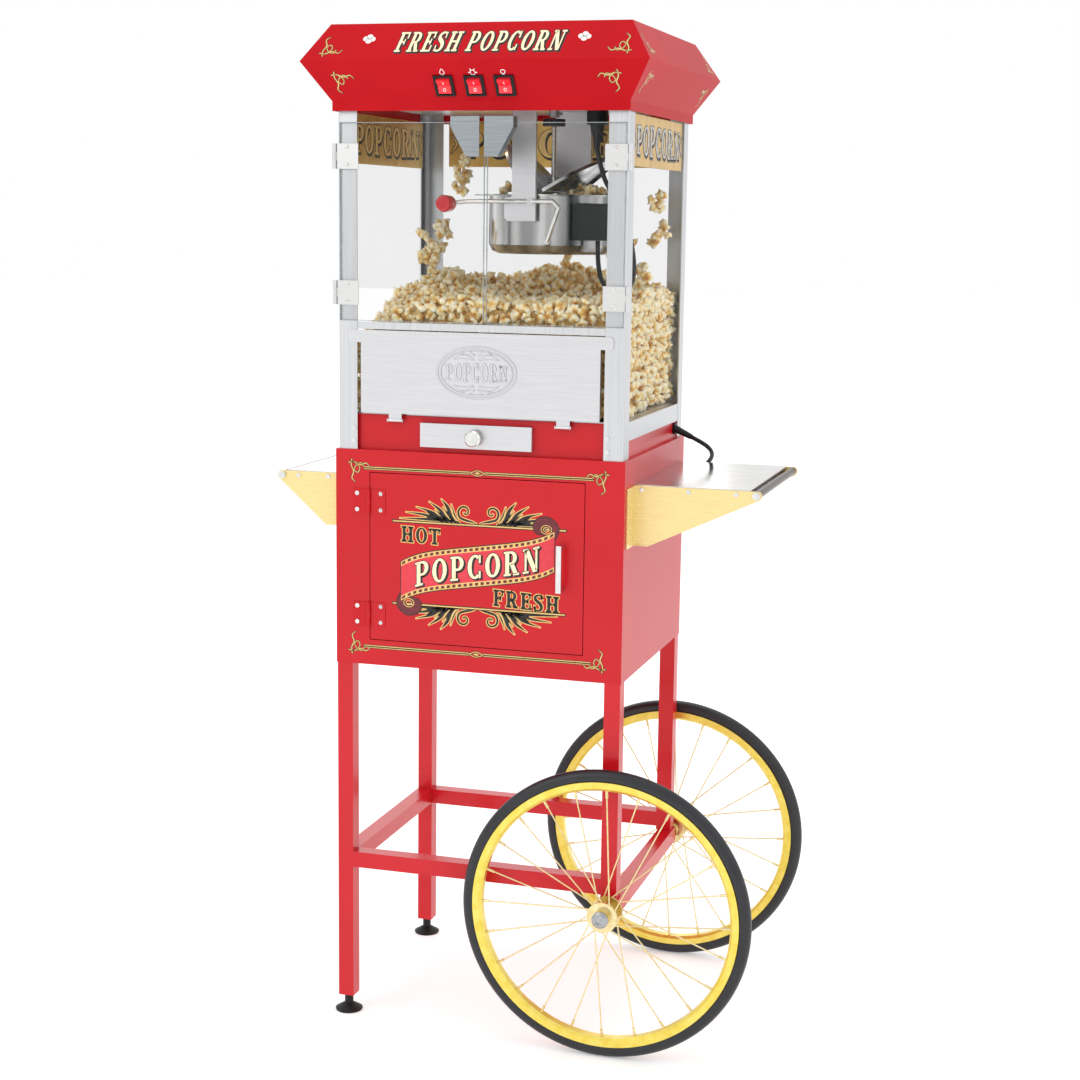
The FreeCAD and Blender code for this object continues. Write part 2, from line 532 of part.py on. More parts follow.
LAMP_X, LAMP_Y = -110.0, 20.0
ceiling = box(-SKIRT_W / 2 + 1.6, -SKIRT_D / 2 + 1.6, CEIL_Z, SKIRT_W / 2 - 1.6, SKIRT_D / 2 - 1.6, CEIL_Z + 1.5)
ceiling = ceiling.cut(Part.makeCylinder(9.5, 4, V(KET_X, 0, CEIL_Z - 1)))
ceiling = ceiling.cut(box(LAMP_X - 45, LAMP_Y - 32, CEIL_Z - 1, LAMP_X + 45, LAMP_Y + 32, CEIL_Z + 3))
save("ceiling_plate", ceiling)

plate_top = CEIL_Z + 1.6
motor = fuse([box(KET_X - 42, -33, plate_top, KET_X + 42, 33, plate_top + 30),
              Part.makeCylinder(27, 34, V(KET_X + 14, 0, plate_top + 29)),
              box(KET_X - 55, -12, plate_top, KET_X + 55, 12, plate_top + 2)])
motor = motor.cut(Part.makeCylinder(5 + FIT, 24, V(KET_X, 0, plate_top - 1)))
save("gear_motor", motor)
save("motor_dog", fuse([Part.makeCylinder(8, 14, V(KET_X, 0, 1438)),
                        Part.makeCylinder(5, 34, V(KET_X, 0, 1439)),
                        rod((KET_X - 13, 0, 1444), (KET_X + 13, 0, 1444), 2.0)]))
lamp_z = plate_top + 27
save("lamp", fuse([Part.makeCylinder(16, 34, V(LAMP_X - 78, LAMP_Y, lamp_z), V(1, 0, 0)),
                   Part.makeCylinder(10, 14, V(LAMP_X - 45, LAMP_Y, lamp_z), V(1, 0, 0)),
                   Part.makeSphere(21, V(LAMP_X - 10, LAMP_Y, lamp_z)),
                   box(LAMP_X - 76, LAMP_Y - 15, plate_top, LAMP_X - 60, LAMP_Y + 15, lamp_z)]))

# ---- kettle -------------------------------------------------------------------------------------
def hanger(x0, x1, foot_x, y, sy, fold_to):
    """A folded steel strap from the ceiling, bored for the kettle's trunnion."""
    y0, y1 = sorted((y, y + sy * 1.5))
    z0 = 1277.0
    outline = [(x0, CEIL_Z - 0.1), (x1, CEIL_Z - 0.1), (x1, z0), (foot_x + 5, z0), (foot_x, z0 + 5),
               (foot_x, 1311), (x0, 1314)]
    plate = prism_xz(outline, y0, y1)
    r0, r1 = sorted((y, fold_to))
    fold = box(x1 - 1.5, r0, z0, x1, r1, CEIL_Z - 0.1)
    bore = rod((KET_X, y0 - 1, PIVOT_Z), (KET_X, y1 + 1, PIVOT_Z), TRUNNION_R + FIT)
    return fuse([plate, fold]).cut(bore)


TRUNNION_R = 3.2
FRONT_Y, REAR_Y = -118.0, 111.5
front_hanger = hanger(25, 62.5, 13, FRONT_Y, -1, FRONT_Y + 5)
rear_hanger = hanger(26, 86, 26, REAR_Y, 1, REAR_Y + 9)
save("kettle_hangers", front_hanger, rear_hanger)

wall = 1.5
bottom_r = KET_R - 14
pot_profile = [(0, 0), (0, bottom_r), (4, KET_R - 5), (14, KET_R), (KET_Z1 - KET_Z0 - 2, KET_R),
               (KET_Z1 - KET_Z0 - 2, KET_R + 7), (KET_Z1 - KET_Z0, KET_R + 7), (KET_Z1 - KET_Z0, KET_R - wall),
               (20, KET_R - wall), (16, KET_R - 10), (16, 0)]
pot = spin(pot_profile, (KET_X, 0, KET_Z0), (0, 0, 1))
lip_half = 32.0
lip = box(KET_X - KET_R - 18, -lip_half, KET_Z1 - 2, KET_X - KET_R - 4, lip_half, KET_Z1)
heater_room = Part.makeCylinder(KET_R - 18, 9, V(KET_X, 0, KET_Z0 + 3))
pot = fuse([pot, lip])
for y0, y1 in ((FRONT_Y - 1.6, -KET_R + 1), (KET_R - 1, REAR_Y + 1.7)):
    pot = pot.fuse(rod((KET_X, y0, PIVOT_Z), (KET_X, y1, PIVOT_Z), TRUNNION_R))
pot = pot.cut(heater_room)
save("kettle_pot", pot)
save("kettle_heater", Part.makeCylinder(KET_R - 18.3, 8.4, V(KET_X, 0, KET_Z0 + 3.3)))

BAR_Z = KET_Z1 + 0.1
SHAFT_R = 3.6
cross = box(KET_X - 5, -KET_R, BAR_Z, KET_X + 5, KET_R, BAR_Z + 3)
for sy in (-1, 1):
    y0, y1 = sorted((sy * KET_R, sy * (KET_R - 4)))
    cross = cross.fuse(box(KET_X - 10.2, y0, BAR_Z, KET_X + 10.2, y1, BAR_Z + 7.2))
cross = cross.cut(Part.makeCylinder(SHAFT_R + FIT, 10, V(KET_X, 0, BAR_Z - 2)))
LID_AXIS_Z = BAR_Z + 5.0
LID_AXIS = 8.0
hinge_rods = [rod((KET_X + sx * LID_AXIS, -KET_R + 4.1, LID_AXIS_Z), (KET_X + sx * LID_AXIS, KET_R - 4.1, LID_AXIS_Z), 1.3)
              for sx in (-1, 1)]
handle_y = FRONT_Y - 7.0
grip = [(KET_X - 3, handle_y, PIVOT_Z), (-45, handle_y - 4, PIVOT_Z - 1), (-61, handle_y - 8, PIVOT_Z - 3),
        (-66, handle_y - 24, PIVOT_Z - 5)]
stay = [(KET_X, handle_y, PIVOT_Z), (92, handle_y, PIVOT_Z), (101, handle_y, PIVOT_Z - 9), (78, -106.5, 1246)]
ROD_R = 3.3
handle = fuse([rod(a, b, ROD_R) for line in (grip, stay) for a, b in zip(line, line[1:])]
              + [Part.makeSphere(ROD_R, V(*p)) for p in grip[1:3] + stay[1:3]]
              + [rod((KET_X, handle_y - 3, PIVOT_Z), (KET_X, FRONT_Y - 1.7, PIVOT_Z), 5.5)])
handle = handle.fuse(cone((78, -107, 1246), (76, -95.4, 1244), 4.5, 6.5))
handle = handle.cut(Part.makeCylinder(KET_R + 0.05, 90, V(KET_X, 0, KET_Z0)))
save("kettle_rods", cross, handle, *hinge_rods)
grip_end = V(*grip[3])
save("handle_knob", spin([(0.1, 0), (0.1, 8), (3, 12.5), (24, 13), (30, 11), (31, 8), (31, 0)],
                         (grip_end.x, grip_end.y, grip_end.z), (0, -1, 0)))


def lid(side, rest):
    """Half a disc with a turned-down rim, hung from a rod along the crossbar."""
    centre = KET_X
    start = LID_AXIS + 4.5
    disc = Part.makeCylinder(KET_R + 3, 1.0, V(centre, 0, BAR_Z + 4.5))
    skirt = Part.makeCylinder(KET_R + 3, 4.0, V(centre, 0, BAR_Z + 0.6)).cut(
        Part.makeCylinder(KET_R + 2, 5.0, V(centre, 0, BAR_Z)))
    whole = disc.fuse(skirt)
    keep = box(centre + start, -200, 0, centre + 200, 200, 2000)
    half = whole.common(keep)
    hold = box(centre + LID_AXIS, -86, BAR_Z + 4.5, centre + start + 1, 86, BAR_Z + 5.5)
    tube = rod((centre + LID_AXIS, -86, LID_AXIS_Z), (centre + LID_AXIS, 86, LID_AXIS_Z), 2.4)
    bore = rod((centre + LID_AXIS, -91, LID_AXIS_Z), (centre + LID_AXIS, 91, LID_AXIS_Z), 1.3 + FIT)
    shape = fuse([half, hold, tube]).cut(bore)
    shape = turn(shape, (centre + LID_AXIS, 0, LID_AXIS_Z), (0, -1, 0), rest)
    if side > 0:
        return shape
    return shape.mirror(V(centre, 0, 0), V(1, 0, 0))


save("left_lid", lid(-1, LID_REST_L))
save("right_lid", lid(1, LID_REST_R))

shaft = Part.makeCylinder(SHAFT_R, 1427 - KET_Z0 - 18, V(KET_X, 0, KET_Z0 + 18))
disc = Part.makeCylinder(18, 11, V(KET_X, 0, 1424.5))
collar = Part.makeCylinder(9, 12, V(KET_X, 0, 1334))
arm = box(KET_X - 82, -5, KET_Z0 + 18.5, KET_X + 82, 5, KET_Z0 + 21)
blades = [box(KET_X + x - 8, -1.2, KET_Z0 + 18.5, KET_X + x + 8, 1.2, KET_Z0 + 34) for x in (-60, 60)]
save("stirrer", fuse([shaft, disc, collar, arm] + blades))

BOX_ANGLE = math.radians(-45)
box_normal = V(math.cos(BOX_ANGLE), math.sin(BOX_ANGLE), 0)
box_side = V(-box_normal.y, box_normal.x, 0)
terminal = box(0, -25, 1249, 26, 25, 1305)
terminal = fuse([terminal, box(-3, -12, 1262, 1, 12, 1292)])
terminal = turn(terminal, (0, 0, 0), (0, 0, 1), -45)
terminal.translate(V(KET_X, 0, 0) + box_normal * (KET_R + 6.5))
terminal = terminal.cut(Part.makeCylinder(KET_R + 0.05, 200, V(KET_X, 0, 1200)))
save("terminal_box", terminal)

LEAD_R = 3.6
lead_exit = V(KET_X, 0, 1249) + box_normal * (KET_R + 27) + box_side * 8.7
PLUG_X, PLUG_Y, PLUG_Z0 = 160.0, -125.0, 1387.0
kettle_route = [(lead_exit.x, lead_exit.y, 1248.7), (153.0, -84.0, 1224.0), (155.5, -83.2, 1201.5),
                (161.5, -82.2, 1183.0), (176.0, -82.0, 1171.5), (194.5, -83.5, 1171.5), (208.5, -87.0, 1183.0),
                (213.5, -92.0, 1203.0), (213.0, -99.0, 1231.0), (208.5, -107.0, 1261.0), (198.5, -115.0, 1291.0),
                (183.5, -122.0, 1320.0), (168.0, -125.0, 1349.0), (PLUG_X, PLUG_Y, PLUG_Z0)]
save("kettle_lead", routed_tube(kettle_route, LEAD_R, "kettle lead"))
save("kettle_plug", spin([(0, 0), (0, 4.6), (20, 7), (20.5, 9), (34, 11), (34, 0)],
                         (PLUG_X, PLUG_Y, PLUG_Z0), (0, 0, 1)))
SOCKET_Z = PLUG_Z0 + 34.1
save("ceiling_socket", fuse([Part.makeCylinder(16, CEIL_Z - 0.1 - SOCKET_Z, V(PLUG_X, PLUG_Y, SOCKET_Z)),
                             box(PLUG_X - 20, PLUG_Y - 20, CEIL_Z - 6, PLUG_X + 20, PLUG_Y + 20, CEIL_Z - 0.1)]))

# ---- mains lead ---------------------------------------------------------------------------------
MAINS_R = 3.5
GLAND = V(bx + 0.1, 147.0, 940.5)
gland_flange = Part.makeCylinder(9.5, 4, GLAND, V(1, 0, 0))
boot_end = V(257.0, 148.0, 927.5)
boot = cone(tuple(GLAND + V(3, 0, 0)), tuple(boot_end), 6.2, 4.4)
save("mains_gland", gland_flange.fuse(boot))
mains_route = [tuple(boot_end), (275.0, 149.0, 919.0), (287.0, 162.0, 907.0), (286.0, 183.0, 893.0),
               (274.0, 202.0, 879.0), (255.0, 215.0, 862.0), (236.0, 220.5, 840.0), (221.0, 219.5, 814.0),
               (212.5, 217.0, 786.0), (208.5, 216.0, 757.0), (207.0, 215.0, 727.0)]
COIL_X, COIL_Y, COIL_Z = 170.0, 215.0, 705.0
tail_route = [(156.0, 215.0, 662.8), (134.0, 215.3, 659.5), (115.0, 215.8, 649.0), (106.0, 216.0, 630.0),
              (105.0, 216.0, 610.0)]
save("mains_lead", routed_tube(mains_route, MAINS_R, "mains lead"), routed_tube(tail_route, MAINS_R, "mains tail"))
coil_profile = [(-7.5, 28), (-7.5, 45), (-5.5, 47), (5.5, 47), (7.5, 45), (7.5, 28), (5.5, 26), (-5.5, 26)]
save("mains_coil", spin(coil_profile, (COIL_X, COIL_Y, COIL_Z), (0, 1, 0)))
plug_top = tail_route[-1]
save("mains_plug", spin([(0, 0), (0, 4.6), (16, 7), (17, 11), (38, 13), (38, 0)], plug_top, (0, 0, -1)).fuse(
    Part.makeCompound([box(plug_top[0] + x - 0.8, plug_top[1] - 3, plug_top[2] - 54, plug_top[0] + x + 0.8,
                           plug_top[1] + 3, plug_top[2] - 37) for x in (-6.3, 6.3)])))

# ---- screws that stay put -----------------------------------------------------------------------
SCREW_R, SCREW_H = 3.5, 1.8
screws = []
for sx in (-1, 1):
    for z in (937.5, 957.8):
        screws.append(rod((sx * 203, -POST_Y - 0.05, z), (sx * 203, -POST_Y - SCREW_H, z), SCREW_R))
for t in (TRAY_R, TRAY_L):
    spots = (13, 86, 159) if t["side"] > 0 else (20, 70)
    for dx in spots:
        x = t["side"] * (cw + dx)
        screws.append(rod((x, t["y0"] - 0.05, TRAY_Z - 7.5), (x, t["y0"] - SCREW_H, TRAY_Z - 7.5), SCREW_R))
        screws.append(rod((x, t["y1"] + 0.05, TRAY_Z - 7.5), (x, t["y1"] + SCREW_H, TRAY_Z - 7.5), SCREW_R))
    x = t["side"] * (cw + t["reach"])
    screws.append(rod((x, t["y0"] - 0.05, TRAY_Z - 8), (x, t["y0"] - 3.5, TRAY_Z - 8), 6.0))
    screws.append(rod((x, t["y1"] + 0.05, TRAY_Z - 8), (x, t["y1"] + 3.5, TRAY_Z - 8), 6.0))
for z in (652.0, 677.5, 830.5, 856.0):
    screws.append(rod((-196.3, cab_leaf_y - 0.05, z), (-196.3, cab_leaf_y - SCREW_H, z), SCREW_R))
save("screws", *screws)
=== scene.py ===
import math
import random

import bmesh
import bpy
from mathutils import Matrix, Vector


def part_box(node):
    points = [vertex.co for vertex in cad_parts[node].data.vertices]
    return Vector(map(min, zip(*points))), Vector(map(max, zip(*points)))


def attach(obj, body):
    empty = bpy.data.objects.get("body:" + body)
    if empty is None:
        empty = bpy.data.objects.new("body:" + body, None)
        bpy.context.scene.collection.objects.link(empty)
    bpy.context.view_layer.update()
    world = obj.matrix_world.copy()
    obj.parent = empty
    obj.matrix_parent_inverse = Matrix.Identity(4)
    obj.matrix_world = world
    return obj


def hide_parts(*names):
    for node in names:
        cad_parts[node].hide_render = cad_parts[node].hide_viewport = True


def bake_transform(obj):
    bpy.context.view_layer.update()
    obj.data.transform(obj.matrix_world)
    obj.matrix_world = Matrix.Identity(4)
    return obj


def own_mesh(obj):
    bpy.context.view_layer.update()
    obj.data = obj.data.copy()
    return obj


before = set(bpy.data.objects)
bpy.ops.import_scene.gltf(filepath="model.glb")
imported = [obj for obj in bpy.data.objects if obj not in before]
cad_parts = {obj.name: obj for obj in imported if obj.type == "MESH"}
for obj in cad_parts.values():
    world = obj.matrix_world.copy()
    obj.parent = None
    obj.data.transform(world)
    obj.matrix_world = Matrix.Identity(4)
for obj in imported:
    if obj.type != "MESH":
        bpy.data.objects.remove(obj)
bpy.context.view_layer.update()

# Lengths are written in millimetres from the middle of the cupboard, the way the cart is laid out,
# and at() turns them into the frame's metres.
MM = 0.001
low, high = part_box("cabinet_shell")
MIDDLE_X = (low.x + high.x) / 2


def at(x, y, z):
    return Vector((MIDDLE_X + x * MM, y * MM, z * MM))


# ---- camera and light ----------------------------------------------------------------------------
scene = bpy.context.scene
yaw, pitch, roll = (math.radians(a) for a in (16.59, 9.28, 0.75))
forward = Vector((-math.sin(yaw) * math.cos(pitch), math.cos(yaw) * math.cos(pitch), -math.sin(pitch)))
right = Vector((math.cos(yaw), math.sin(yaw), 0))
up = right.cross(forward)
right, up = (right * math.cos(roll) + up * math.sin(roll), up * math.cos(roll) - right * math.sin(roll))
camera = bpy.data.objects.new("camera", bpy.data.cameras.new("camera"))
camera.data.sensor_width = 36.0
camera.data.lens = 65.84
camera.data.clip_end = 100
camera.matrix_world = Matrix.Translation(at(947.85, -3042.0, 1283.27)) @ Matrix(
    (right, up, -forward)).transposed().to_4x4()
scene.collection.objects.link(camera)
scene.camera = camera
scene.view_settings.view_transform = "Standard"
scene.view_settings.look = "None"


def ink(code):
    """An sRGB hex colour as linear RGBA."""
    parts = [int(code[i:i + 2], 16) / 255 for i in (1, 3, 5)]
    return tuple(c / 12.92 if c <= 0.04045 else ((c + 0.055) / 1.055) ** 2.4 for c in parts) + (1.0,)


def softbox(name, place, target, size, power):
    lamp = bpy.data.lights.new(name, "AREA")
    lamp.shape = "RECTANGLE"
    lamp.size, lamp.size_y = size
    lamp.energy = power
    obj = bpy.data.objects.new(name, lamp)
    obj.location = place
    obj.rotation_euler = (Vector(target) - Vector(place)).to_track_quat("-Z", "Y").to_euler()
    scene.collection.objects.link(obj)


softbox("key_softbox", (-2.2, -3.2, 2.9), (0, 0, 0.9), (2.4, 2.4), 26)
softbox("side_softbox", (3.2, -1.0, 2.2), (0, 0, 0.9), (2.0, 2.4), 8)
softbox("top_softbox", (0.0, 0.4, 4.2), (0, 0, 0.8), (3.0, 3.0), 22)
softbox("back_softbox", (-1.5, 3.4, 2.4), (0, 0, 1.0), (2.4, 2.4), 12)

world = bpy.data.worlds.new("studio")
scene.world = world
world.use_nodes = True
world.node_tree.nodes["Background"].inputs["Color"].default_value = ink("#FFFFFF")
world.node_tree.nodes["Background"].inputs["Strength"].default_value = 1.0

# ---- materials -----------------------------------------------------------------------------------


def add(tree, kind, settings=None, **links):
    """Adds one shader node; links are values or sockets for its inputs, by name or by number (i0, i1...)."""
    made = tree.nodes.new(kind)
    for key, value in (settings or {}).items():
        setattr(made, key, value)
    for key, value in links.items():
        name = int(key[1:]) if key[0] == "i" and key[1:].isdigit() else key.replace("_", " ")
        if isinstance(value, bpy.types.NodeSocket):
            tree.links.new(value, made.inputs[name])
        else:
            made.inputs[name].default_value = value
    return made


def surface(name, **sockets):
    """A material with one Principled shader; returns it with its tree, the shader and its Object coordinates."""
    mat = bpy.data.materials.new(name)
    mat.use_nodes = True
    tree = mat.node_tree
    shader = tree.nodes["Principled BSDF"]
    for key, value in sockets.items():
        shader.inputs[key.replace("_", " ")].default_value = value
    coords = add(tree, "ShaderNodeTexCoord").outputs["Object"]
    return mat, tree, shader, coords


def mottle(tree, coords, shader, colours, size, stretch=(1, 1, 1), detail=3.0):
    """Two or three colours blended by soft noise whose grain is size millimetres."""
    placed = add(tree, "ShaderNodeMapping", Vector=coords, Scale=stretch).outputs["Vector"]
    noise = add(tree, "ShaderNodeTexNoise", Vector=placed, Scale=1000 / size, Detail=detail)
    ramp = add(tree, "ShaderNodeValToRGB", Fac=noise.outputs["Fac"])
    ramp.color_ramp.elements[0].position = 0.32
    ramp.color_ramp.elements[1].position = 0.68
    ramp.color_ramp.elements[0].color = ink(colours[0])
    ramp.color_ramp.elements[1].color = ink(colours[-1])
    if len(colours) == 3:
        ramp.color_ramp.elements.new(0.5).color = ink(colours[1])
    tree.links.new(ramp.outputs["Color"], shader.inputs["Base Color"])
    return noise


def relief(tree, coords, shader, size, height, stretch=(1, 1, 1), rough=None):
    """Fine bump, and roughness that follows it between the two values of rough."""
    placed = add(tree, "ShaderNodeMapping", Vector=coords, Scale=stretch).outputs["Vector"]
    noise = add(tree, "ShaderNodeTexNoise", Vector=placed, Scale=1000 / size, Detail=2.0)
    bump = add(tree, "ShaderNodeBump", Height=noise.outputs["Fac"], Strength=1.0, Distance=height * MM)
    tree.links.new(bump.outputs["Normal"], shader.inputs["Normal"])
    if rough:
        spread = add(tree, "ShaderNodeMapRange", Value=noise.outputs["Fac"], i3=rough[0], i4=rough[1])
        tree.links.new(spread.outputs["Result"], shader.inputs["Roughness"])


def coat(name, *colour, bump=None, **sockets):
    """A material with mottle()'s colour and, where bump is given, relief()'s surface."""
    mat, tree, shader, coords = surface(name, **sockets)
    mottle(tree, coords, shader, *colour)
    if bump:
        relief(tree, coords, shader, *bump)
    return mat


def sums(tree, operation, *values):
    made = add(tree, "ShaderNodeMath", {"operation": operation}, **{"i%d" % k: v for k, v in enumerate(values)})
    return made.outputs["Value"]


def either(tree, share, first, second):
    """The first colour, and the second where share is 1."""
    return add(tree, "ShaderNodeMix", {"data_type": "RGBA"}, i0=share, i6=first, i7=second).outputs[2]


# Powder-coated steel sheet: a thick glossy enamel with the faint ripple of baked powder.
enamel_red = coat("powder_coated_steel_red", ("#BF0B18", "#C60E1B"), 160, bump=(2.2, 0.012), Roughness=0.34,
    Coat_Weight=0.12, Coat_Roughness=0.15, Specular_IOR_Level=0.3)

# The roof wears the same powder with less gloss, so its slopes mirror less of the room, in a deeper red that is painted
# shade.
roof_red_painted_shade = coat("powder_coated_steel_red_with_painted_shade", ("#B30914", "#BD0C19"), 160, bump=(2.2, 0.012), Roughness=0.42,
    Specular_IOR_Level=0.1)

# The same coat on drawn square tube, a little deeper in colour.
tube_red = coat("powder_coated_tube_red", ("#C40A18", "#CC1020"), 120, bump=(2.5, 0.012), Roughness=0.3,
    Coat_Weight=0.15, Coat_Roughness=0.1, Specular_IOR_Level=0.35)

# Stainless sheet, belt-brushed along its length: satin with fine long scratches.
brushed = coat("stainless_steel_brushed", ("#CFCFD1", "#D7D7D9"), 1.6, (0.03, 1, 1),
    bump=(0.9, 0.003, (0.02, 1, 1), (0.32, 0.4)), Metallic=1.0, Roughness=0.36, Anisotropic=0.4)

# The doors' own fittings: bright hinge plates, and pulls in the middle of the front in the same brushed steel with
# painted shade.
PULLS_REACH = 0.12
door_steel, tree, shader, coords = surface("stainless_steel_brushed_with_painted_shade_on_pulls", Metallic=1.0, Roughness=0.34)
across = add(tree, "ShaderNodeSeparateXYZ", Vector=coords).outputs["X"]
near = sums(tree, "LESS_THAN", sums(tree, "ABSOLUTE", sums(tree, "SUBTRACT", across, MIDDLE_X)), PULLS_REACH)
grain = add(tree, "ShaderNodeMapping", Vector=coords, Scale=(0.03, 1, 1)).outputs["Vector"]
grain = add(tree, "ShaderNodeTexNoise", Vector=grain, Scale=1000 / 1.6, Detail=3.0).outputs["Fac"]
bright = either(tree, grain, ink("#CDCDCC"), ink("#DADAD9"))
# The pulls' colour is a darker grey than the plates': painted shade on the same stainless steel.
pull_painted_shade = either(tree, grain, ink("#7C8286"), ink("#A3A9AC"))
tree.links.new(either(tree, near, bright, pull_painted_shade), shader.inputs["Base Color"])
relief(tree, coords, shader, 0.9, 0.006, (0.02, 1, 1), (0.3, 0.42))

# The fixed hinge halves: steel on the clear case, and powder-coated with the cupboard below 900 mm.
CASE_FOOT = 0.9
hinge_two, tree, shader, coords = surface("steel_hinges_coated_low_bare_high", Roughness=0.34, Specular_IOR_Level=0.3)
level = add(tree, "ShaderNodeSeparateXYZ", Vector=coords).outputs["Z"]
bare = sums(tree, "GREATER_THAN", level, CASE_FOOT)
grain = add(tree, "ShaderNodeTexNoise", Vector=coords, Scale=1000 / 4, Detail=3.0).outputs["Fac"]
steel = either(tree, grain, ink("#CFCFD1"), ink("#D9D9DB"))
paint = either(tree, grain, ink("#BF0B18"), ink("#C60E1B"))
tree.links.new(either(tree, bare, paint, steel), shader.inputs["Base Color"])
tree.links.new(bare, shader.inputs["Metallic"])
relief(tree, coords, shader, 2.2, 0.006)

# Stainless sheet stamped from behind: the raised lines have a darker rim along their edges, which is painted shade.
emboss_edge_shade = coat("stainless_steel_painted_emboss_edge_shade", ("#9E9FA1", "#B9BABB"), 2.0, bump=(1.2, 0.01, (1, 1, 1), (0.26, 0.4)),
    Metallic=1.0, Roughness=0.3)

# Stainless sheet with a mill finish, for the trays: smooth and mirror-like with a soft haze.
mill_steel = coat("stainless_steel_mill", ("#C9C7C5", "#D6D4D2"), 40, bump=(30, 0.04, (1, 1, 1), (0.13, 0.22)),
    Metallic=1.0, Roughness=0.16)

# Spun stainless steel: polished on the lathe, so its fine lines run round the bowl. Its colour holds tall dark and
# bright bands of painted reflection, of what is round it.
spun_painted_reflections = coat("stainless_steel_spun_painted_reflection_bands", ("#58595B", "#A9A9A8", "#ECECEA"), 34, (1, 1, 0.04), 1.0,
    bump=(1.4, 0.006, (0.05, 0.05, 1), (0.12, 0.24)), Metallic=1.0, Roughness=0.17)

# Anodised aluminium extrusion: matt silver with die lines along its length.
anodised = coat("aluminium_anodised_extruded", ("#C6C7C9", "#D2D3D5"), 2.0, (1, 1, 0.01),
    bump=(1.2, 0.005, (1, 1, 0.01), (0.3, 0.42)), Metallic=1.0, Roughness=0.36)

# Nickel plate over steel, buffed: bright and nearly mirror-like.
nickel = coat("nickel_plated_steel", ("#D5D5D3", "#E4E3E1"), 12, bump=(5, 0.01, (1, 1, 1), (0.07, 0.15)),
    Metallic=1.0, Roughness=0.1)

# Zinc plate: duller and slightly mottled.
zinc = coat("zinc_plated_steel", ("#9C9EA2", "#B4B6B8"), 5, bump=(3, 0.02, (1, 1, 1), (0.28, 0.42)), Metallic=1.0,
    Roughness=0.34)

# Gold-anodised sheet, brushed: warm satin brass colour.
gold_sheet = coat("aluminium_gold_anodised", ("#EBD391", "#EFDA9C"), 2, (0.05, 1, 1),
    bump=(1.5, 0.002, (0.03, 1, 1), (0.24, 0.3)), Metallic=0.5, Roughness=0.34)

# Gold lacquer over a plated rim: yellower, with a clear coat.
gold_rim = coat("steel_gold_lacquered", ("#E6CC4C", "#F0DC6C"), 14, bump=(4, 0.01, (1, 1, 1), (0.25, 0.36)),
    Metallic=0.75, Roughness=0.3, Coat_Weight=0.4, Coat_Roughness=0.1)

# Brass-plated spoke wire, drawn and bright.
spoke_wire = coat("wire_brass_plated", ("#DCC98E", "#EBDDAE"), 9, Metallic=1.0, Roughness=0.2)

# Vulcanised solid tyre: black with a soft sheen and fine mould grain.
tyre = coat("rubber_vulcanised_tyre", ("#101217", "#191B21"), 30, bump=(1.5, 0.02, (1, 1, 1), (0.32, 0.46)),
    Roughness=0.38, Specular_IOR_Level=0.55)

# Moulded rubber and PVC: plug, boot, cord sheath.
rubber = coat("pvc_moulded_black", ("#0B0B0D", "#141416"), 8, bump=(1.2, 0.03, (1, 1, 1), (0.42, 0.58)),
    Roughness=0.5, Specular_IOR_Level=0.35)

# Moulded ABS: satin black with a spark-eroded grain.
abs_black = coat("abs_moulded_black", ("#0C0D0E", "#151618"), 5, bump=(1.0, 0.02, (1, 1, 1), (0.34, 0.46)),
    Roughness=0.46, Specular_IOR_Level=0.3)

# Phenolic knob: glossy red moulding.
phenolic = coat("phenolic_moulded_red", ("#B81822", "#C8222C"), 12, bump=(8, 0.02), Roughness=0.2, Coat_Weight=0.2,
    Specular_IOR_Level=0.4)

# Rocker: clear red polycarbonate with a neon lamp behind it, so that it glows a little.
rocker_red = coat("polycarbonate_moulded_red", ("#D9202C", "#E43440"), 10, bump=(6, 0.015), Roughness=0.14,
    Emission_Strength=0.25, Emission_Color=ink("#FF3038"))

# Clear acrylic and glass: nearly all of the light goes straight through, and the edges keep a cool tint.
acrylic = coat("acrylic_sheet_clear", ("#565E60", "#5E6668"), 200, Roughness=0.03, Alpha=0.05)
# The sawn and flamed edge of the same acrylic gathers light and looks much denser than its face.
acrylic_edge = coat("acrylic_sheet_flamed_edge", ("#8F999C", "#B5BEC0"), 30, Roughness=0.2, Alpha=0.6)
glass = coat("glass_tempered_clear", ("#566060", "#5E6866"), 200, Roughness=0.02, Alpha=0.045)

# Frosted bulb, lit.
bulb = coat("glass_frosted_bulb", ("#FFF4DE", "#FFF9EC"), 20, Roughness=0.4, Emission_Strength=3.0,
    Emission_Color=ink("#FFE9C4"))

# Dark bronze lacquer on the trays' bars.
bronze = coat("steel_bronze_lacquered", ("#3A2820", "#4E382C"), 10, bump=(4, 0.02), Metallic=0.6, Roughness=0.3)

# The stirrer's shaft is polished steel with a black rubber coupling disc at its top, from 1424 mm up.
DISC_FOOT = 1.424
spindle, tree, shader, coords = surface("stainless_steel_turned_with_rubber_disc", Roughness=0.2)
height = add(tree, "ShaderNodeSeparateXYZ", Vector=coords).outputs["Z"]
disc = sums(tree, "GREATER_THAN", height, DISC_FOOT)
tree.links.new(either(tree, disc, ink("#CFCFCE"), ink("#1A1B1D")), shader.inputs["Base Color"])
tree.links.new(sums(tree, "SUBTRACT", 1.0, disc), shader.inputs["Metallic"])
relief(tree, coords, shader, 2, 0.01, (0.1, 0.1, 1), (0.16, 0.34))

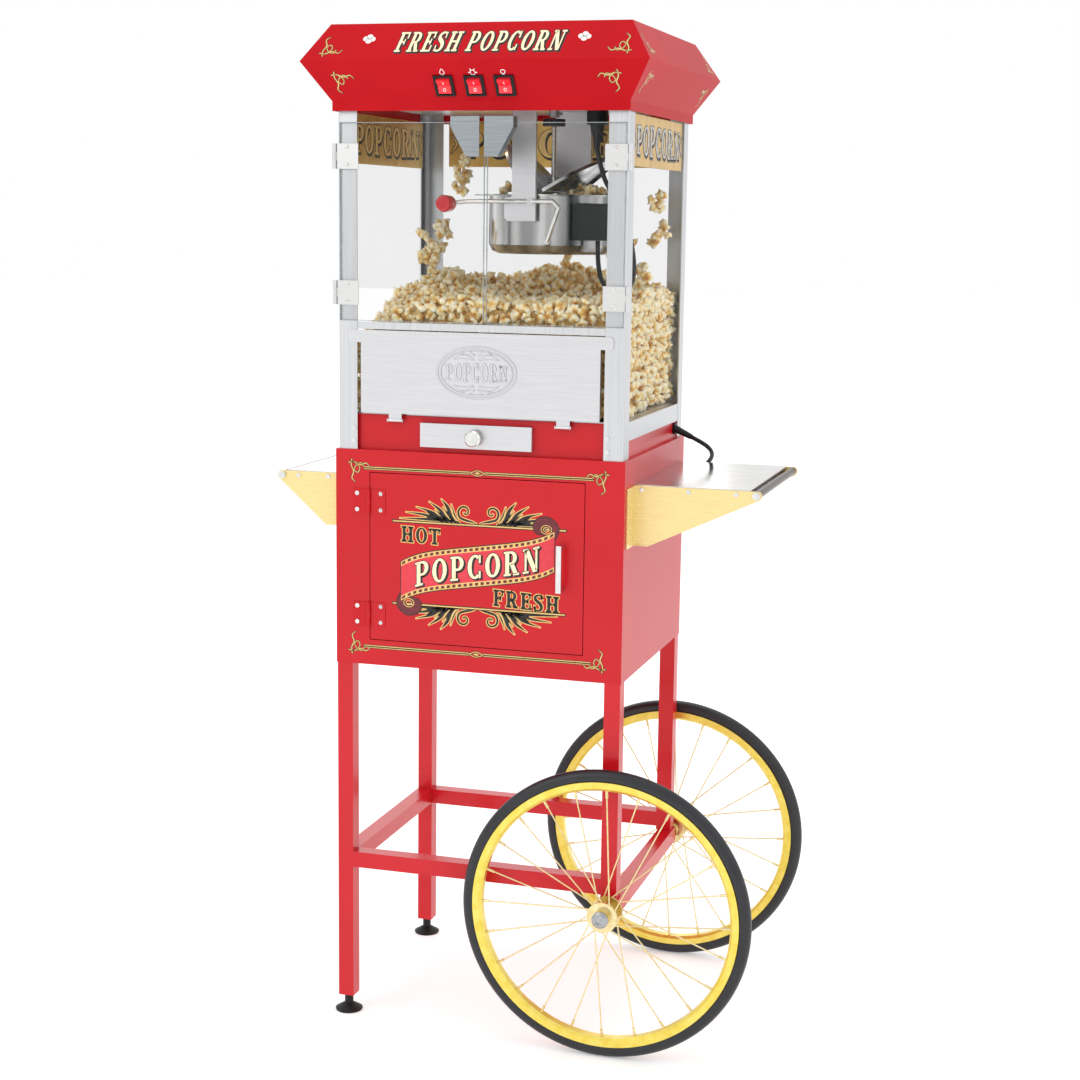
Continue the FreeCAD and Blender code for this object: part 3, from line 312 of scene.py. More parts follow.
# Screen-printed inks: thin, slightly raised and semi-gloss.
inks = {}
for name, colours, metal in (("gold", ("#DDB566", "#EBC983"), 0.35), ("black", ("#15100F", "#241C1A"), 0.0),
                             ("cream", ("#F6E2B4", "#FFF1CF"), 0.0), ("wine", ("#5E1A22", "#74222B"), 0.0),
                             ("rose", ("#D8313F", "#E03A48"), 0.0), ("pewter", ("#9A9790", "#D2D0CA"), 0.7),
                             ("white", ("#E9E6E2", "#F7F5F2"), 0.0)):
    inks[name] = coat("screen_ink_" + name, colours, 6, bump=(1.5, 0.01), Metallic=metal, Roughness=0.36)

# Gold mirror film on the signs: a printed sheet seen from both sides.
film = coat("polyester_film_gold", ("#C9A152", "#DAB566"), 30, bump=(12, 0.02, (1, 1, 1), (0.24, 0.36)),
    Metallic=0.85, Roughness=0.3)

# Popped corn: dry foam-like starch, white where it burst furthest, butter-yellow in its folds, with brown hull.
corn, tree, shader, coords = surface("popcorn_buttered", Roughness=0.62, Subsurface_Weight=0.25,
                                     Subsurface_Scale=0.004, Subsurface_Radius=(1.0, 0.7, 0.4))
puff = add(tree, "ShaderNodeAttribute", {"attribute_name": "puff"}).outputs["Fac"]
spot = add(tree, "ShaderNodeTexNoise", Vector=coords, Scale=130, Detail=3.0).outputs["Fac"]
fold = add(tree, "ShaderNodeValToRGB", Fac=sums(tree, "MULTIPLY_ADD", spot, 0.5, puff))
fold.color_ramp.elements[0].position, fold.color_ramp.elements[0].color = 0.22, ink("#B9792B")
fold.color_ramp.elements[1].position, fold.color_ramp.elements[1].color = 0.95, ink("#FFF6DD")
fold.color_ramp.elements.new(0.38).color = ink("#E6BE6C")
fold.color_ramp.elements.new(0.62).color = ink("#F8E5B0")
tree.links.new(fold.outputs["Color"], shader.inputs["Base Color"])
foam = add(tree, "ShaderNodeTexVoronoi", Vector=coords, Scale=260)
bump = add(tree, "ShaderNodeBump", Height=foam.outputs["Distance"], Strength=0.8, Distance=0.0012)
tree.links.new(bump.outputs["Normal"], shader.inputs["Normal"])

FINISH = {
    enamel_red: ("cabinet_shell", "cabinet_hinge_leaves", "cabinet_plates", "cabinet_door", "popper_base"),
    roof_red_painted_shade: ("roof_canopy",),
    tube_red: ("cart_frame", "axle_beam"),
    hinge_two: ("hinge_brackets",),
    door_steel: ("left_door_fittings", "right_door_fittings"),
    brushed: ("drop_front", "crumb_drawer", "kettle_hangers", "popcorn_deck", "ceiling_plate"),
    mill_steel: ("serving_trays",),
    spun_painted_reflections: ("kettle_pot", "left_lid", "right_lid"),
    anodised: ("corner_posts", "panel_rails"),
    nickel: ("cabinet_handle", "drawer_knob", "kettle_rods", "screws"),
    zinc: ("axle_and_nuts", "kettle_heater", "gear_motor", "motor_dog"),
    gold_sheet: ("tray_gussets",),
    gold_rim: ("near_rim", "far_rim"),
    spoke_wire: ("near_spokes", "far_spokes", "near_hub", "far_hub"),
    tyre: ("near_tyre", "far_tyre"),
    rubber: ("kettle_plug", "mains_gland", "mains_plug", "kettle_lead", "mains_lead", "mains_coil", "front_foot",
             "rear_foot"),
    abs_black: ("switch_bezels", "ceiling_socket", "terminal_box"),
    phenolic: ("handle_knob",),
    rocker_red: ("kettle_switch", "motor_switch", "lamp_switch"),
    acrylic: ("left_door", "right_door"),
    glass: ("fixed_panes",),
    bulb: ("lamp",),
    bronze: ("tray_bars",),
    spindle: ("stirrer",),
}
for finish, names in FINISH.items():
    for name in names:
        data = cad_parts[name].data
        if not data.materials:
            data.materials.append(finish)
        for index in range(len(data.materials)):
            data.materials[index] = finish

# ---- mesh helpers --------------------------------------------------------------------------------


def solid(name, verts, faces, materials):
    """A closed mesh with its faces turned outwards."""
    data = bpy.data.meshes.new(name)
    data.from_pydata([tuple(v) for v in verts], [], faces)
    for mat in materials:
        data.materials.append(mat)
    work = bmesh.new()
    work.from_mesh(data)
    bmesh.ops.recalc_face_normals(work, faces=work.faces)
    work.to_mesh(data)
    work.free()
    return data


def show(name, data, body=None):
    obj = bpy.data.objects.new(name, data)
    scene.collection.objects.link(obj)
    if body:
        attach(obj, body)
    return obj


def piece(name, verts, faces, materials, body, picks=None, smooth=None):
    """A mesh piece in the frame's metres. picks gives each face its material; smooth is an angle in degrees."""
    data = solid(name, verts, faces, materials)
    if picks:
        data.polygons.foreach_set("material_index", picks)
    if smooth:
        data.polygons.foreach_set("use_smooth", [True] * len(data.polygons))
        data.set_sharp_from_angle(angle=math.radians(smooth))
    return show(name, data, body)


def plane(origin, u_way, v_way):
    """A flat place for printed work: maps (u, v, lift) in millimetres onto it, lift going out of the surface."""
    u, v = Vector(u_way).normalized(), Vector(v_way).normalized()
    out = u.cross(v)
    return lambda a, b, lift: at(*(Vector(origin) + u * a + v * b + out * lift))


def bar(x0, y0, x1, y1):
    return [((x0, y0), (x0, y1)), ((x1, y0), (x1, y1))], False


def ring(cx, cy, rx, ry, side, cap, start=0, end=360, steps=18):
    closed = end - start >= 360
    count = steps if closed else steps + 1
    turn = [math.radians(start + (end - start) * i / steps) for i in range(count)]
    return [((cx + (rx - side) * math.cos(a), cy + (ry - cap) * math.sin(a)),
             (cx + rx * math.cos(a), cy + ry * math.sin(a))) for a in turn], closed


def smooth_line(points, steps=5):
    """Points on a Catmull-Rom curve through the given ones."""
    pts = [Vector(p) for p in points]
    pts = [2 * pts[0] - pts[1]] + pts + [2 * pts[-1] - pts[-2]]
    out = []
    for a, b, c, d in zip(pts, pts[1:], pts[2:], pts[3:]):
        for i in range(steps):
            t = i / steps
            out.append(0.5 * (2 * b + (c - a) * t + (2 * a - 5 * b + 4 * c - d) * t * t
                              + (3 * b - a - 3 * c + d) * t ** 3))
    return out + [pts[-2]]


def brush(points, widths, steps=5):
    """A stroke of changing width along a smooth line, in the plane."""
    line = smooth_line(points, steps)
    flat = smooth_line([(w, 0) for w in widths], steps)
    sections = []
    for i, p in enumerate(line):
        way = (line[min(i + 1, len(line) - 1)] - line[max(i - 1, 0)]).normalized()
        side = Vector((-way.y, way.x)) * max(flat[i].x, 0.05) / 2
        sections.append((tuple(p - side), tuple(p + side)))
    return sections, False


def grown(strip, amount):
    """The same strip, wider all round, for the dark edge that lies under it."""
    sections, closed = strip
    rows = [(Vector(a), Vector(b)) for a, b in sections]
    wide = []
    for a, b in rows:
        side = (b - a).normalized() * amount if (b - a).length > 1e-9 else Vector((0, 0))
        wide.append([a - side, b + side])
    if not closed:
        for end, inner in ((0, 1), (-1, -2)):
            mid, near = (rows[end][0] + rows[end][1]) / 2, (rows[inner][0] + rows[inner][1]) / 2
            push = (mid - near).normalized() * amount
            wide[end] = [wide[end][0] + push, wide[end][1] + push]
    return [tuple(map(tuple, pair)) for pair in wide], closed


def mapped(strips, fit):
    return [([(fit(*a), fit(*b)) for a, b in sections], closed) for sections, closed in strips]


# Print starts a hair above the sheet that it lies on, in millimetres.
UNDER = 0.02


def print_on(name, place, layers, body):
    """Thin closed plates of ink on a plane. Each layer is (ink, strips, highest lift), with its lowest lift last
    where that is not UNDER."""
    verts, faces, picks, used = [], [], [], []
    for colour, strips, top, *foot in layers:
        floor = foot[0] if foot else UNDER
        if colour not in used:
            used.append(colour)
        for sections, closed in strips:
            base = len(verts)
            for a, b in sections:
                verts += [place(a[0], a[1], floor), place(b[0], b[1], floor),
                          place(b[0], b[1], top), place(a[0], a[1], top)]
            count = len(sections)
            quads = []
            for i in range(count if closed else count - 1):
                j = (i + 1) % count
                here, there = base + 4 * i, base + 4 * j
                quads += [(here + k, here + (k + 1) % 4, there + (k + 1) % 4, there + k) for k in range(4)]
            if not closed:
                last = base + 4 * (count - 1)
                quads += [(base, base + 1, base + 2, base + 3), (last + 3, last + 2, last + 1, last)]
            faces += quads
            picks += [used.index(colour)] * len(quads)
    return piece(name, verts, faces, used, body, picks)


# ---- slab-serif capitals, drawn in a unit-high cell ------------------------------------------------
STEM, HEAD_TIP, FOOT = bar(0.07, 0.08, 0.25, 0.92), bar(0.49, 0.68, 0.58, 0.92), bar(0, 0, 0.36, 0.09)
WAIST = [bar(0.25, 0.46, 0.42, 0.55), bar(0.38, 0.36, 0.46, 0.65)]
GLYPHS = {
    "P": (0.64, [STEM, FOOT, bar(0, 0.91, 0.34, 1), bar(0.25, 0.4, 0.34, 0.5),
                 ring(0.34, 0.70, 0.29, 0.30, 0.18, 0.1, -90, 90, 9)]),
    "O": (0.70, [ring(0.35, 0.5, 0.35, 0.5, 0.19, 0.1)]),
    "C": (0.66, [ring(0.35, 0.5, 0.35, 0.5, 0.19, 0.1, 50, 310, 14), bar(0.53, 0.64, 0.62, 0.98),
                 bar(0.53, 0.02, 0.62, 0.32)]),
    "R": (0.72, [STEM, bar(0, 0, 0.33, 0.09), bar(0, 0.91, 0.33, 1), bar(0.25, 0.44, 0.33, 0.54),
                 ring(0.33, 0.72, 0.28, 0.28, 0.18, 0.1, -90, 90, 9),
                 ([((0.28, 0.46), (0.46, 0.50)), ((0.46, 0.06), (0.66, 0.06))], False), bar(0.44, 0, 0.72, 0.09)]),
    "N": (0.76, [bar(0.08, 0.06, 0.17, 0.94), bar(0.58, 0.06, 0.67, 0.94), bar(0, 0, 0.27, 0.09), bar(0, 0.91, 0.25, 1),
                 bar(0.48, 0.91, 0.76, 1), ([((0.06, 0.96), (0.27, 0.96)), ((0.47, 0.0), (0.67, 0.0))], False)]),
    "H": (0.76, [bar(0.08, 0.06, 0.26, 0.94), bar(0.50, 0.06, 0.68, 0.94), bar(0.26, 0.45, 0.50, 0.55),
                 bar(0, 0, 0.34, 0.09), bar(0, 0.91, 0.34, 1), bar(0.42, 0, 0.76, 0.09), bar(0.42, 0.91, 0.76, 1)]),
    "T": (0.64, [bar(0.23, 0.08, 0.41, 0.94), bar(0.0, 0.9, 0.64, 1), bar(0, 0.68, 0.08, 0.92),
                 bar(0.56, 0.68, 0.64, 0.92), bar(0.13, 0, 0.51, 0.09)]),
    "F": (0.60, [STEM, FOOT, bar(0, 0.91, 0.58, 1), HEAD_TIP,
                 *WAIST]),
    "E": (0.62, [STEM, bar(0, 0, 0.60, 0.09), bar(0, 0.91, 0.58, 1), HEAD_TIP,
                 bar(0.51, 0.08, 0.60, 0.32), *WAIST]),
    "S": (0.56, [brush([(0.47, 0.80), (0.40, 0.94), (0.25, 0.96), (0.11, 0.86), (0.10, 0.69), (0.24, 0.56),
                        (0.38, 0.44), (0.45, 0.29), (0.42, 0.12), (0.28, 0.04), (0.12, 0.06), (0.06, 0.2)],
                       [0.08, 0.09, 0.1, 0.15, 0.18, 0.2, 0.2, 0.18, 0.15, 0.1, 0.09, 0.08], 3),
                 bar(0.44, 0.68, 0.51, 0.98), bar(0.02, 0.02, 0.09, 0.32)]),
}


def words(text, height, stretch, gap, fit=lambda u, v: (u, v)):
    """Strips for a line of capitals centred on u = 0, standing on v = 0."""
    widths = [0.38 if c == " " else GLYPHS[c][0] for c in text]
    total = sum(widths) * height * stretch + gap * (len(text) - 1)
    pen = -total / 2
    strips = []
    for letter, width in zip(text, widths):
        if letter != " ":
            strips += mapped(GLYPHS[letter][1], lambda x, y, pen=pen: fit(pen + x * height * stretch, y * height))
        pen += width * height * stretch + gap
    return strips


def flipped(strips, sx=1, sy=1, dx=0, dy=0):
    return mapped(strips, lambda u, v: (dx + sx * u, dy + sy * v))


# ---- printed work on the cupboard ----------------------------------------------------------------
FRONT = -200.0
front = plane((0, FRONT, 0), (1, 0, 0), (0, 0, 1))


def flourish(sx, sy, x, y):
    """A small corner ornament: a bent double line with a loop and two tails."""
    lines = [brush([(0, 0), (9, 3), (15, 10), (12, 17), (6, 13), (10, 5), (18, 2), (22, 8)], [1.2] * 8),
             brush([(2, -4), (1, 6), (5, 16), (2, 26), (8, 32)], [1.4, 1.6, 1.8, 1.5, 0.6]),
             brush([(-4, 2), (6, 1), (16, 5), (26, 2), (32, 8)], [1.4, 1.6, 1.8, 1.5, 0.6])]
    return flipped(lines, sx, sy, x, y)


def leaf(x0, y0, x1, y1, bend, width):
    mid = ((x0 + x1) / 2 - (y1 - y0) * bend, (y0 + y1) / 2 + (x1 - x0) * bend)
    return brush([(x0, y0), mid, (x1, y1)], [width * 0.25, width, 0.2], 6)


pin_lines = []
diamonds = []
for level in (895.7, 612.5):
    for z, w in ((level + 1.4, 1.3), (level - 1.6, 1.0)):
        pin_lines += [bar(-186, z - w / 2, -12, z + w / 2), bar(12, z - w / 2, 184, z + w / 2)]
    diamonds += [brush([(-12, level), (0, level + 4), (12, level)], [1.2, 1.2, 1.2], 4),
                 brush([(-12, level), (0, level - 4), (12, level)], [1.2, 1.2, 1.2], 4),
                 ([((-5, level), (-5, level)), ((0, level - 2), (0, level + 2)), ((5, level), (5, level))], False)]
corners = []
for sx, x in ((1, -208), (-1, 204)):
    corners += flourish(sx, -1, x, 905) + flourish(sx, 1, x, 603)
gold_work = pin_lines + diamonds + corners
print_on("cupboard_pinstripes", front,
         [(inks["black"], [grown(s, 0.9) for s in gold_work], 0.06), (inks["gold"], gold_work, 0.12)],
         "cart")

# The door's emblem: two rules, a rising ribbon with the trade's plain words, and C-scrolls above and below.
door_art = plane((0, FRONT, 751), (1, 0, 0), (0, 0, 1))


def ribbon_fit(u, v):
    """Bends straight work along the ribbon: it rises to the right, and its ends turn down and up."""
    t = u / 126
    return u, v + 19 * t + 13 * t ** 5


def ribbon_strip(u0, u1, v0, v1, step=9):
    count = max(1, round((u1 - u0) / step))
    return [(ribbon_fit(u0 + (u1 - u0) * i / count, v0), ribbon_fit(u0 + (u1 - u0) * i / count, v1))
            for i in range(count + 1)], False


HALF, RIB, EDGE = 124, 31, 7.5
ribbon = [ribbon_strip(-HALF, HALF, -RIB, RIB)]
edge_strips = [ribbon_strip(-HALF, HALF, v, v + EDGE) for v in (-RIB, RIB - EDGE)]
checks = [ribbon_strip(u - 2.7, u + 2.7, v + 1.6, v + EDGE - 1.6)
          for v in (-RIB, RIB - EDGE) for u in [k * 9.2 for k in range(-13, 14)]]
rolls = [brush([(s * u, s * v) for u, v in ((122, 52), (124, 66), (112, 76), (98, 72), (98, 62), (108, 60))],
               [8, 13, 14, 13, 10, 7]) for s in (-1, 1)]
roll_lines = [ring(sx * 111, sx * 64, r, r * 0.8, 1.1, 1.1, steps=16) for sx in (-1, 1) for r in (9, 5)]
lettering, shade = (words("POPCORN", 38, 0.9, 6.0, lambda u, v: ribbon_fit(u + du, v + dv))
                    for du, dv in ((0, -19), (2.6, -21.4)))
small = (words("HOT", 25, 1.05, 4, lambda u, v: (u - 92, v + 31 - 0.03 * u))
         + words("FRESH", 26, 1.05, 4, lambda u, v: (u + 80, v - 62 - 0.05 * u)))
rules = [bar(-138, 63, 142, 65), bar(-138, -67, 142, -65)]
ornament = []
for sy in (-1, 1):
    for sx in (-1, 1):
        turn = [(22 + (13 - 1.25 * i) * math.cos(math.radians(-100 + 48 * i)),
                 84 + (13 - 1.25 * i) * math.sin(math.radians(-100 + 48 * i))) for i in range(10)]
        group = [brush([(3, 67), (9, 69)] + turn, [0.6, 2.0] + [3.6 - 0.22 * i for i in range(10)], 4)]
        for k, (tip_u, tip_v) in enumerate(((60, 102), (80, 97), (101, 88), (118, 79))):
            group += [brush([(36 + 7 * k, 67.5), (44 + 10 * k, 76 - 1.2 * k), (50 + 13 * k, 90 - 4.5 * k),
                             (tip_u, tip_v)], [1.0, 5.2 - 0.5 * k, 5.0 - 0.5 * k, 0.3]),
                      brush([(32 + 7 * k, 69), (39 + 10 * k, 80 - 2 * k), (44 + 13 * k, 95 - 5 * k)],
                            [0.5, 2.2, 0.3])]
        group.append(brush([(30, 67), (70, 69.5), (128, 69)], [1.0, 4.5, 0.3]))
        ornament += flipped(group, sx, sy, 2, 0)
art_layers = [
    (inks["gold"], [grown(s, 1.3) for s in ornament + small] + rules, 0.06),
    (inks["black"], ornament + small + [grown(s, 1.5) for s in ribbon + rolls + rules], 0.1),
    (inks["gold"], rules, 0.12),
    (inks["black"], [grown(s, 1.3) for s in rolls], 0.13),
    (inks["wine"], rolls, 0.14),
    (inks["gold"], roll_lines, 0.16),
    (inks["rose"], ribbon, 0.16),
    (inks["gold"], edge_strips, 0.18),
    (inks["wine"], checks, 0.22),
    (inks["black"], [grown(s, 0.9) for s in shade], 0.2),
    (inks["black"], [grown(s, 1.1) for s in lettering], 0.26),
    (inks["cream"], lettering, 0.32)]
print_on("door_emblem", door_art, art_layers, "cabinet_door_leaf")

# ---- printed work on the roof --------------------------------------------------------------------
CREASE_Y, CREASE_X = 248.75, 268.75
SKIRT_Y, SKIRT_X, SLOPE_Z, CREASE_Z = 210.5, 232.2, 1452.0, 1508.5
TOP_Y, TOP_X, TOP_Z = 210.9, 233.1, 1565.0
upper = plane((0, -CREASE_Y, CREASE_Z), (1, 0, 0), (0, CREASE_Y - TOP_Y, TOP_Z - CREASE_Z))
lower = plane((0, -SKIRT_Y, SLOPE_Z), (1, 0, 0), (0, SKIRT_Y - CREASE_Y, CREASE_Z - SLOPE_Z))
side_upper = plane((CREASE_X, 0, CREASE_Z), (0, 1, 0), (TOP_X - CREASE_X, 0, TOP_Z - CREASE_Z))
side_lower = plane((SKIRT_X, 0, SLOPE_Z), (0, 1, 0), (CREASE_X - SKIRT_X, 0, CREASE_Z - SLOPE_Z))


def lean(u, v):
    return u + 0.18 * v, v


title = (words("FRESH", 36, 0.68, 4.4, lambda u, v: lean(u - 76, v + 15))
         + words("POPCORN", 36, 0.68, 4.4, lambda u, v: lean(u + 58, v + 15)))
title_shade = flipped(title, 1, 1, 2.0, -2.0)
puffs = []
for sx in (-1, 1):
    for du, dv, r in ((0, 0, 5), (6, 3, 4.5), (-5, 4, 4.5), (1, 7, 5)):
        puffs.append(ring(sx * 166 + du, 36 + dv, r, r, r * 0.98, r * 0.98, steps=10))
print_on("roof_title", upper,
         [(inks["black"], [grown(s, 1.3) for s in title_shade + title], 0.1),
          (inks["cream"], title, 0.2), (inks["white"], puffs, 0.16)], "cart")
for name, place, half in (("front_upper", upper, 238), ("front_lower", lower, 222), ("side_upper", side_upper, 216),
                          ("side_lower", side_lower, 200)):
    sy, v = (1, 12) if name.endswith("upper") else (-1, 46)
    marks = flourish(1, sy, -(half - 2), v) + flourish(-1, sy, half - 2, v)
    print_on("roof_flourishes_" + name, place,
             [(inks["black"], [grown(s, 0.8) for s in marks], 0.06), (inks["gold"], marks, 0.12)],
             "cart")

# Small signs above the switches: a flame for the kettle, a wheel for the motor, a bulb for the lamp.
SIGN_V = 47
signs = [brush([(-47.5, SIGN_V - 4), (-51, SIGN_V), (-47.5, SIGN_V + 6), (-44, SIGN_V), (-47.5, SIGN_V - 4)],
               [1.2] * 5, 4), ring(0, SIGN_V, 4.5, 4.5, 1.2, 1.2, steps=12)]
for k in range(6):
    a = math.radians(60 * k)
    signs.append(brush([(r * math.cos(a), SIGN_V + r * math.sin(a)) for r in (4.5, 7)], [1.5, 1.5], 2))
signs += [ring(46.5, SIGN_V + 1, 4, 4, 1.2, 1.2, steps=12), bar(44.5, SIGN_V - 6, 48.5, SIGN_V - 3)]
print_on("switch_signs", lower, [(inks["white"], signs, 0.12)], "cart")

# I and O on each rocker, on its two faces.
rise = math.atan2(CREASE_Y - SKIRT_Y, CREASE_Z - SLOPE_Z)
SWITCH_Z = 1473.5
switch_y = -SKIRT_Y - (SWITCH_Z - SLOPE_Z) * math.tan(rise)


def rocker_face(x, y0, z0, y1, z1):
    """The plane of one face of a rocker, given by its lower and upper edge in the switch's own upright frame."""
    def tip(y, z):
        return (x, switch_y + y * math.cos(rise) - z * math.sin(rise),
                SWITCH_Z + y * math.sin(rise) + z * math.cos(rise))
    a, b = Vector(tip(y0, z0)), Vector(tip(y1, z1))
    return plane((a + b) / 2, (1, 0, 0), b - a)


for name, x in (("kettle", -47.5), ("motor", 0.0), ("lamp", 46.5)):
    print_on(name + "_rocker_on", rocker_face(x, -2.4, 0, -7.0, 11.6),
             [(inks["white"], [bar(-0.6, -2.5, 0.6, 2.5)], 0.1)], name + "_rocker")
    print_on(name + "_rocker_off", rocker_face(x, -4.2, -11.6, -2.4, 0),
             [(inks["white"], [ring(0, 0, 2.4, 2.8, 0.8, 0.8, steps=12)], 0.1)], name + "_rocker")

# ---- signs inside the panes ----------------------------------------------------------------------


def sign(name, place, half, foot, height, letters):
    """A band of gold film with outlined capitals that swell towards the middle."""
    def swell(u, v):
        return u, (v - height / 2) * (0.84 + 0.16 * math.cos(u / half * 1.5)) + height / 2
    text = words("POPCORN", height * 0.62, half * 2 * 0.86 / (height * 0.62 * 5.2), 5,
                 lambda u, v: swell(u, v + height * 0.2))
    drop = flipped(text, 1, 1, 2.0, -3.2)
    ends = [brush([(sx * (half - 4), height * 0.3), (sx * (half - 14), height * 0.5), (sx * (half - 4), height * 0.7)],
                  [1.2, 3.5, 1.2]) for sx in (-1, 1)]
    layers = [(film, [bar(-half, 0, half, height)], 0.3, 0.0),
              (inks["black"], [grown(s, 1.4) for s in drop + text + ends], 0.5, 0.05),
              (letters, text + ends, 0.7, 0.1)]
    shifted = [(colour, flipped(strips, 1, 1, 0, foot), top, low) for colour, strips, top, low in layers]
    return print_on(name, place, shifted, "cart")


for name, x, y, across, half, foot in (
        ("left_outside", -225.6, 0, (0, -1, 0), 160, 1362), ("left_inside", -222.4, 0, (0, 1, 0), 160, 1362),
        ("rear_inside", 0, 188.9, (1, 0, 0), 185, 1366), ("rear_outside", 0, 192.1, (-1, 0, 0), 185, 1366),
        ("right_outside", 225.6, 0, (0, 1, 0), 160, 1360), ("right_inside", 222.4, 0, (0, -1, 0), 160, 1360)):
    sign("sign_" + name, plane((x, y, 0), across, (0, 0, 1)), half, foot, 76,
         inks["gold" if name.endswith("inside") else "pewter"])

# ---- embossed oval on the drop front -------------------------------------------------------------
APRON_Y = -199.3
apron_face = plane((-3, APRON_Y, 1049), (1, 0, 0), (0, 0, 1))


def oval_fit(u, v):
    """Lifts the middle of straight work, the way lettering sits across an oval badge."""
    return u, v * (1.16 - 0.00012 * u * u)


emboss = [ring(0, 0, 64, 40, 2.0, 2.0, steps=56), ring(0, 0, 58, 34.5, 1.1, 1.1, steps=56)]
emboss += words("POPCORN", 25, 0.66, 3.0, lambda u, v: oval_fit(u, v - 12.5))
for sx in (-1, 1):
    for sy in (-1, 1):
        emboss += flipped([leaf(5, 20, 36, 20, 0.14, 5), leaf(3, 26, 24, 28, 0.16, 4)], sx, sy)
# The darker rim laid under the raised lines is painted shade.
print_on("drop_front_emboss", apron_face,
         [(emboss_edge_shade, [grown(s, 0.7) for s in emboss], 0.35), (brushed, emboss, 0.9)], "apron")

# ---- geometry nodes: pieces scattered on points ---------------------------------------------------


def scatter(name, points, source, finish, body, seed, sizes, facing=None, smooth=True):
    """Puts copies of the source meshes on the points, turned at random or to the given direction, as one mesh."""
    tree = bpy.data.node_groups.new(name + "_rule", "GeometryNodeTree")
    for label, kind in (("Points", "Geometry"), ("Smallest", "Float"), ("Largest", "Float"), ("Seed", "Int")):
        tree.interface.new_socket(name=label, in_out="INPUT", socket_type="NodeSocket" + kind)
    tree.interface.new_socket(name="Mesh", in_out="OUTPUT", socket_type="NodeSocketGeometry")
    enter = tree.nodes.new("NodeGroupInput")
    leave = tree.nodes.new("NodeGroupOutput")
    group = bpy.data.collections.new(name + "_shapes")
    for shape in source:
        group.objects.link(shape)
    shapes = add(tree, "GeometryNodeCollectionInfo", Collection=group, Separate_Children=True, Reset_Children=True)
    size = add(tree, "FunctionNodeRandomValue", {"data_type": "FLOAT"}, i2=enter.outputs["Smallest"],
               i3=enter.outputs["Largest"], Seed=enter.outputs["Seed"])
    if facing is None:
        turn = add(tree, "FunctionNodeRandomValue", {"data_type": "FLOAT_VECTOR"}, i0=(0, 0, 0),
                   i1=(2 * math.pi,) * 3, Seed=enter.outputs["Seed"]).outputs[0]
    else:
        turn = add(tree, "FunctionNodeAlignRotationToVector", {"axis": "Z"}, Vector=Vector(facing)).outputs[0]
    spread = add(tree, "GeometryNodeInstanceOnPoints", Points=enter.outputs["Points"],
                 Instance=shapes.outputs[0], Pick_Instance=True, Rotation=turn, Scale=size.outputs[1])
    solid = add(tree, "GeometryNodeRealizeInstances", Geometry=spread.outputs[0])
    done = add(tree, "GeometryNodeSetMaterial", Geometry=solid.outputs[0], Material=finish)
    tree.links.new(done.outputs[0], leave.inputs[0])

    data = bpy.data.meshes.new(name + "_points")
    data.from_pydata([tuple(p) for p in points], [], [])
    holder = bpy.data.objects.new(name + "_points", data)
    scene.collection.objects.link(holder)
    rule = holder.modifiers.new("rule", "NODES")
    rule.node_group = tree
    keys = {item.name: item.identifier for item in tree.interface.items_tree if item.in_out == "INPUT"}
    rule[keys["Smallest"]], rule[keys["Largest"]] = sizes
    rule[keys["Seed"]] = seed
    ready = holder.evaluated_get(bpy.context.evaluated_depsgraph_get())
    mesh = bpy.data.meshes.new_from_object(ready)
    mesh.name = name
    holder.modifiers.remove(rule)
    bpy.data.objects.remove(holder)
    if smooth:
        mesh.polygons.foreach_set("use_smooth", [True] * len(mesh.polygons))
    return show(name, mesh, body)


# ---- popped corn ---------------------------------------------------------------------------------
def popped(seed):
    """One popped kernel, 1 unit across its usual radius: five to seven lobes burst out of a small core."""
    dice = random.Random(seed)
    work = bmesh.new()
    bmesh.ops.create_icosphere(work, subdivisions=2, radius=1)
    lobes = []
    while len(lobes) < dice.choice((5, 6, 7)):
        way = Vector((dice.gauss(0, 1), dice.gauss(0, 1), dice.gauss(0, 1))).normalized()
        if all(way.angle(other) > 0.75 for other, _ in lobes):
            lobes.append((way, dice.uniform(0.55, 0.8)))
    puff = []
    for v in work.verts:
        way = v.co.normalized()
        swell = max(tall * math.exp(-(way.angle(lobe) / 0.52) ** 2) for lobe, tall in lobes)
        v.co = way * (0.42 + swell + dice.uniform(-0.04, 0.04))
        puff.append(swell)
    data = bpy.data.meshes.new("popped_%d" % seed)
    work.to_mesh(data)
    work.free()
    mark = data.attributes.new("puff", "FLOAT", "POINT")
    mark.data.foreach_set("value", [p / 0.7 for p in puff])
    return bpy.data.objects.new("popped_%d" % seed, data)


kernels = [popped(seed) for seed in range(8)]
KERNEL = 12.6


def corn_on(name, points, body, seed, small, large):
    """Loose kernels on the points, between the small and the large share of the usual radius."""
    return scatter(name, points, [k.copy() for k in kernels], corn, body, seed,
                   (KERNEL * small * MM, KERNEL * large * MM))


def bump_at(x, y, cx, cy, wx, wy, tall):
    return tall * math.exp(-((x - cx) / wx) ** 2 - ((y - cy) / wy) ** 2)


def heap_top(x, y):
    """Height of the loose corn in the bin, kept under the kettle's swing."""
    h = 1152 + bump_at(x, y, -120, 10, 75, 160, 46) + bump_at(x, y, 40, 165, 110, 50, 58)
    h += bump_at(x, y, 190, 60, 50, 130, 22) + bump_at(x, y, 60, -140, 110, 50, 14)
    h -= bump_at(x, y, -225, -190, 85, 130, 70)
    h += 6 * math.sin(x * 0.06 + 1.3) * math.cos(y * 0.05) + 3 * math.sin(x * 0.17) * math.sin(y * 0.14 + 1)
    if -88 < x < 190 and abs(y) < 110:
        h = min(h, 1170)
    if -95 < x < 125 and y < -108:
        h = min(h, 1163 - 9 * math.exp(-((x - 56) / 55) ** 2))
    return h


dice = random.Random(11)
WALL_X, WALL_Y, FLOOR = 209.0, 176.0, 993.0
heap = []
STEP = 17.0


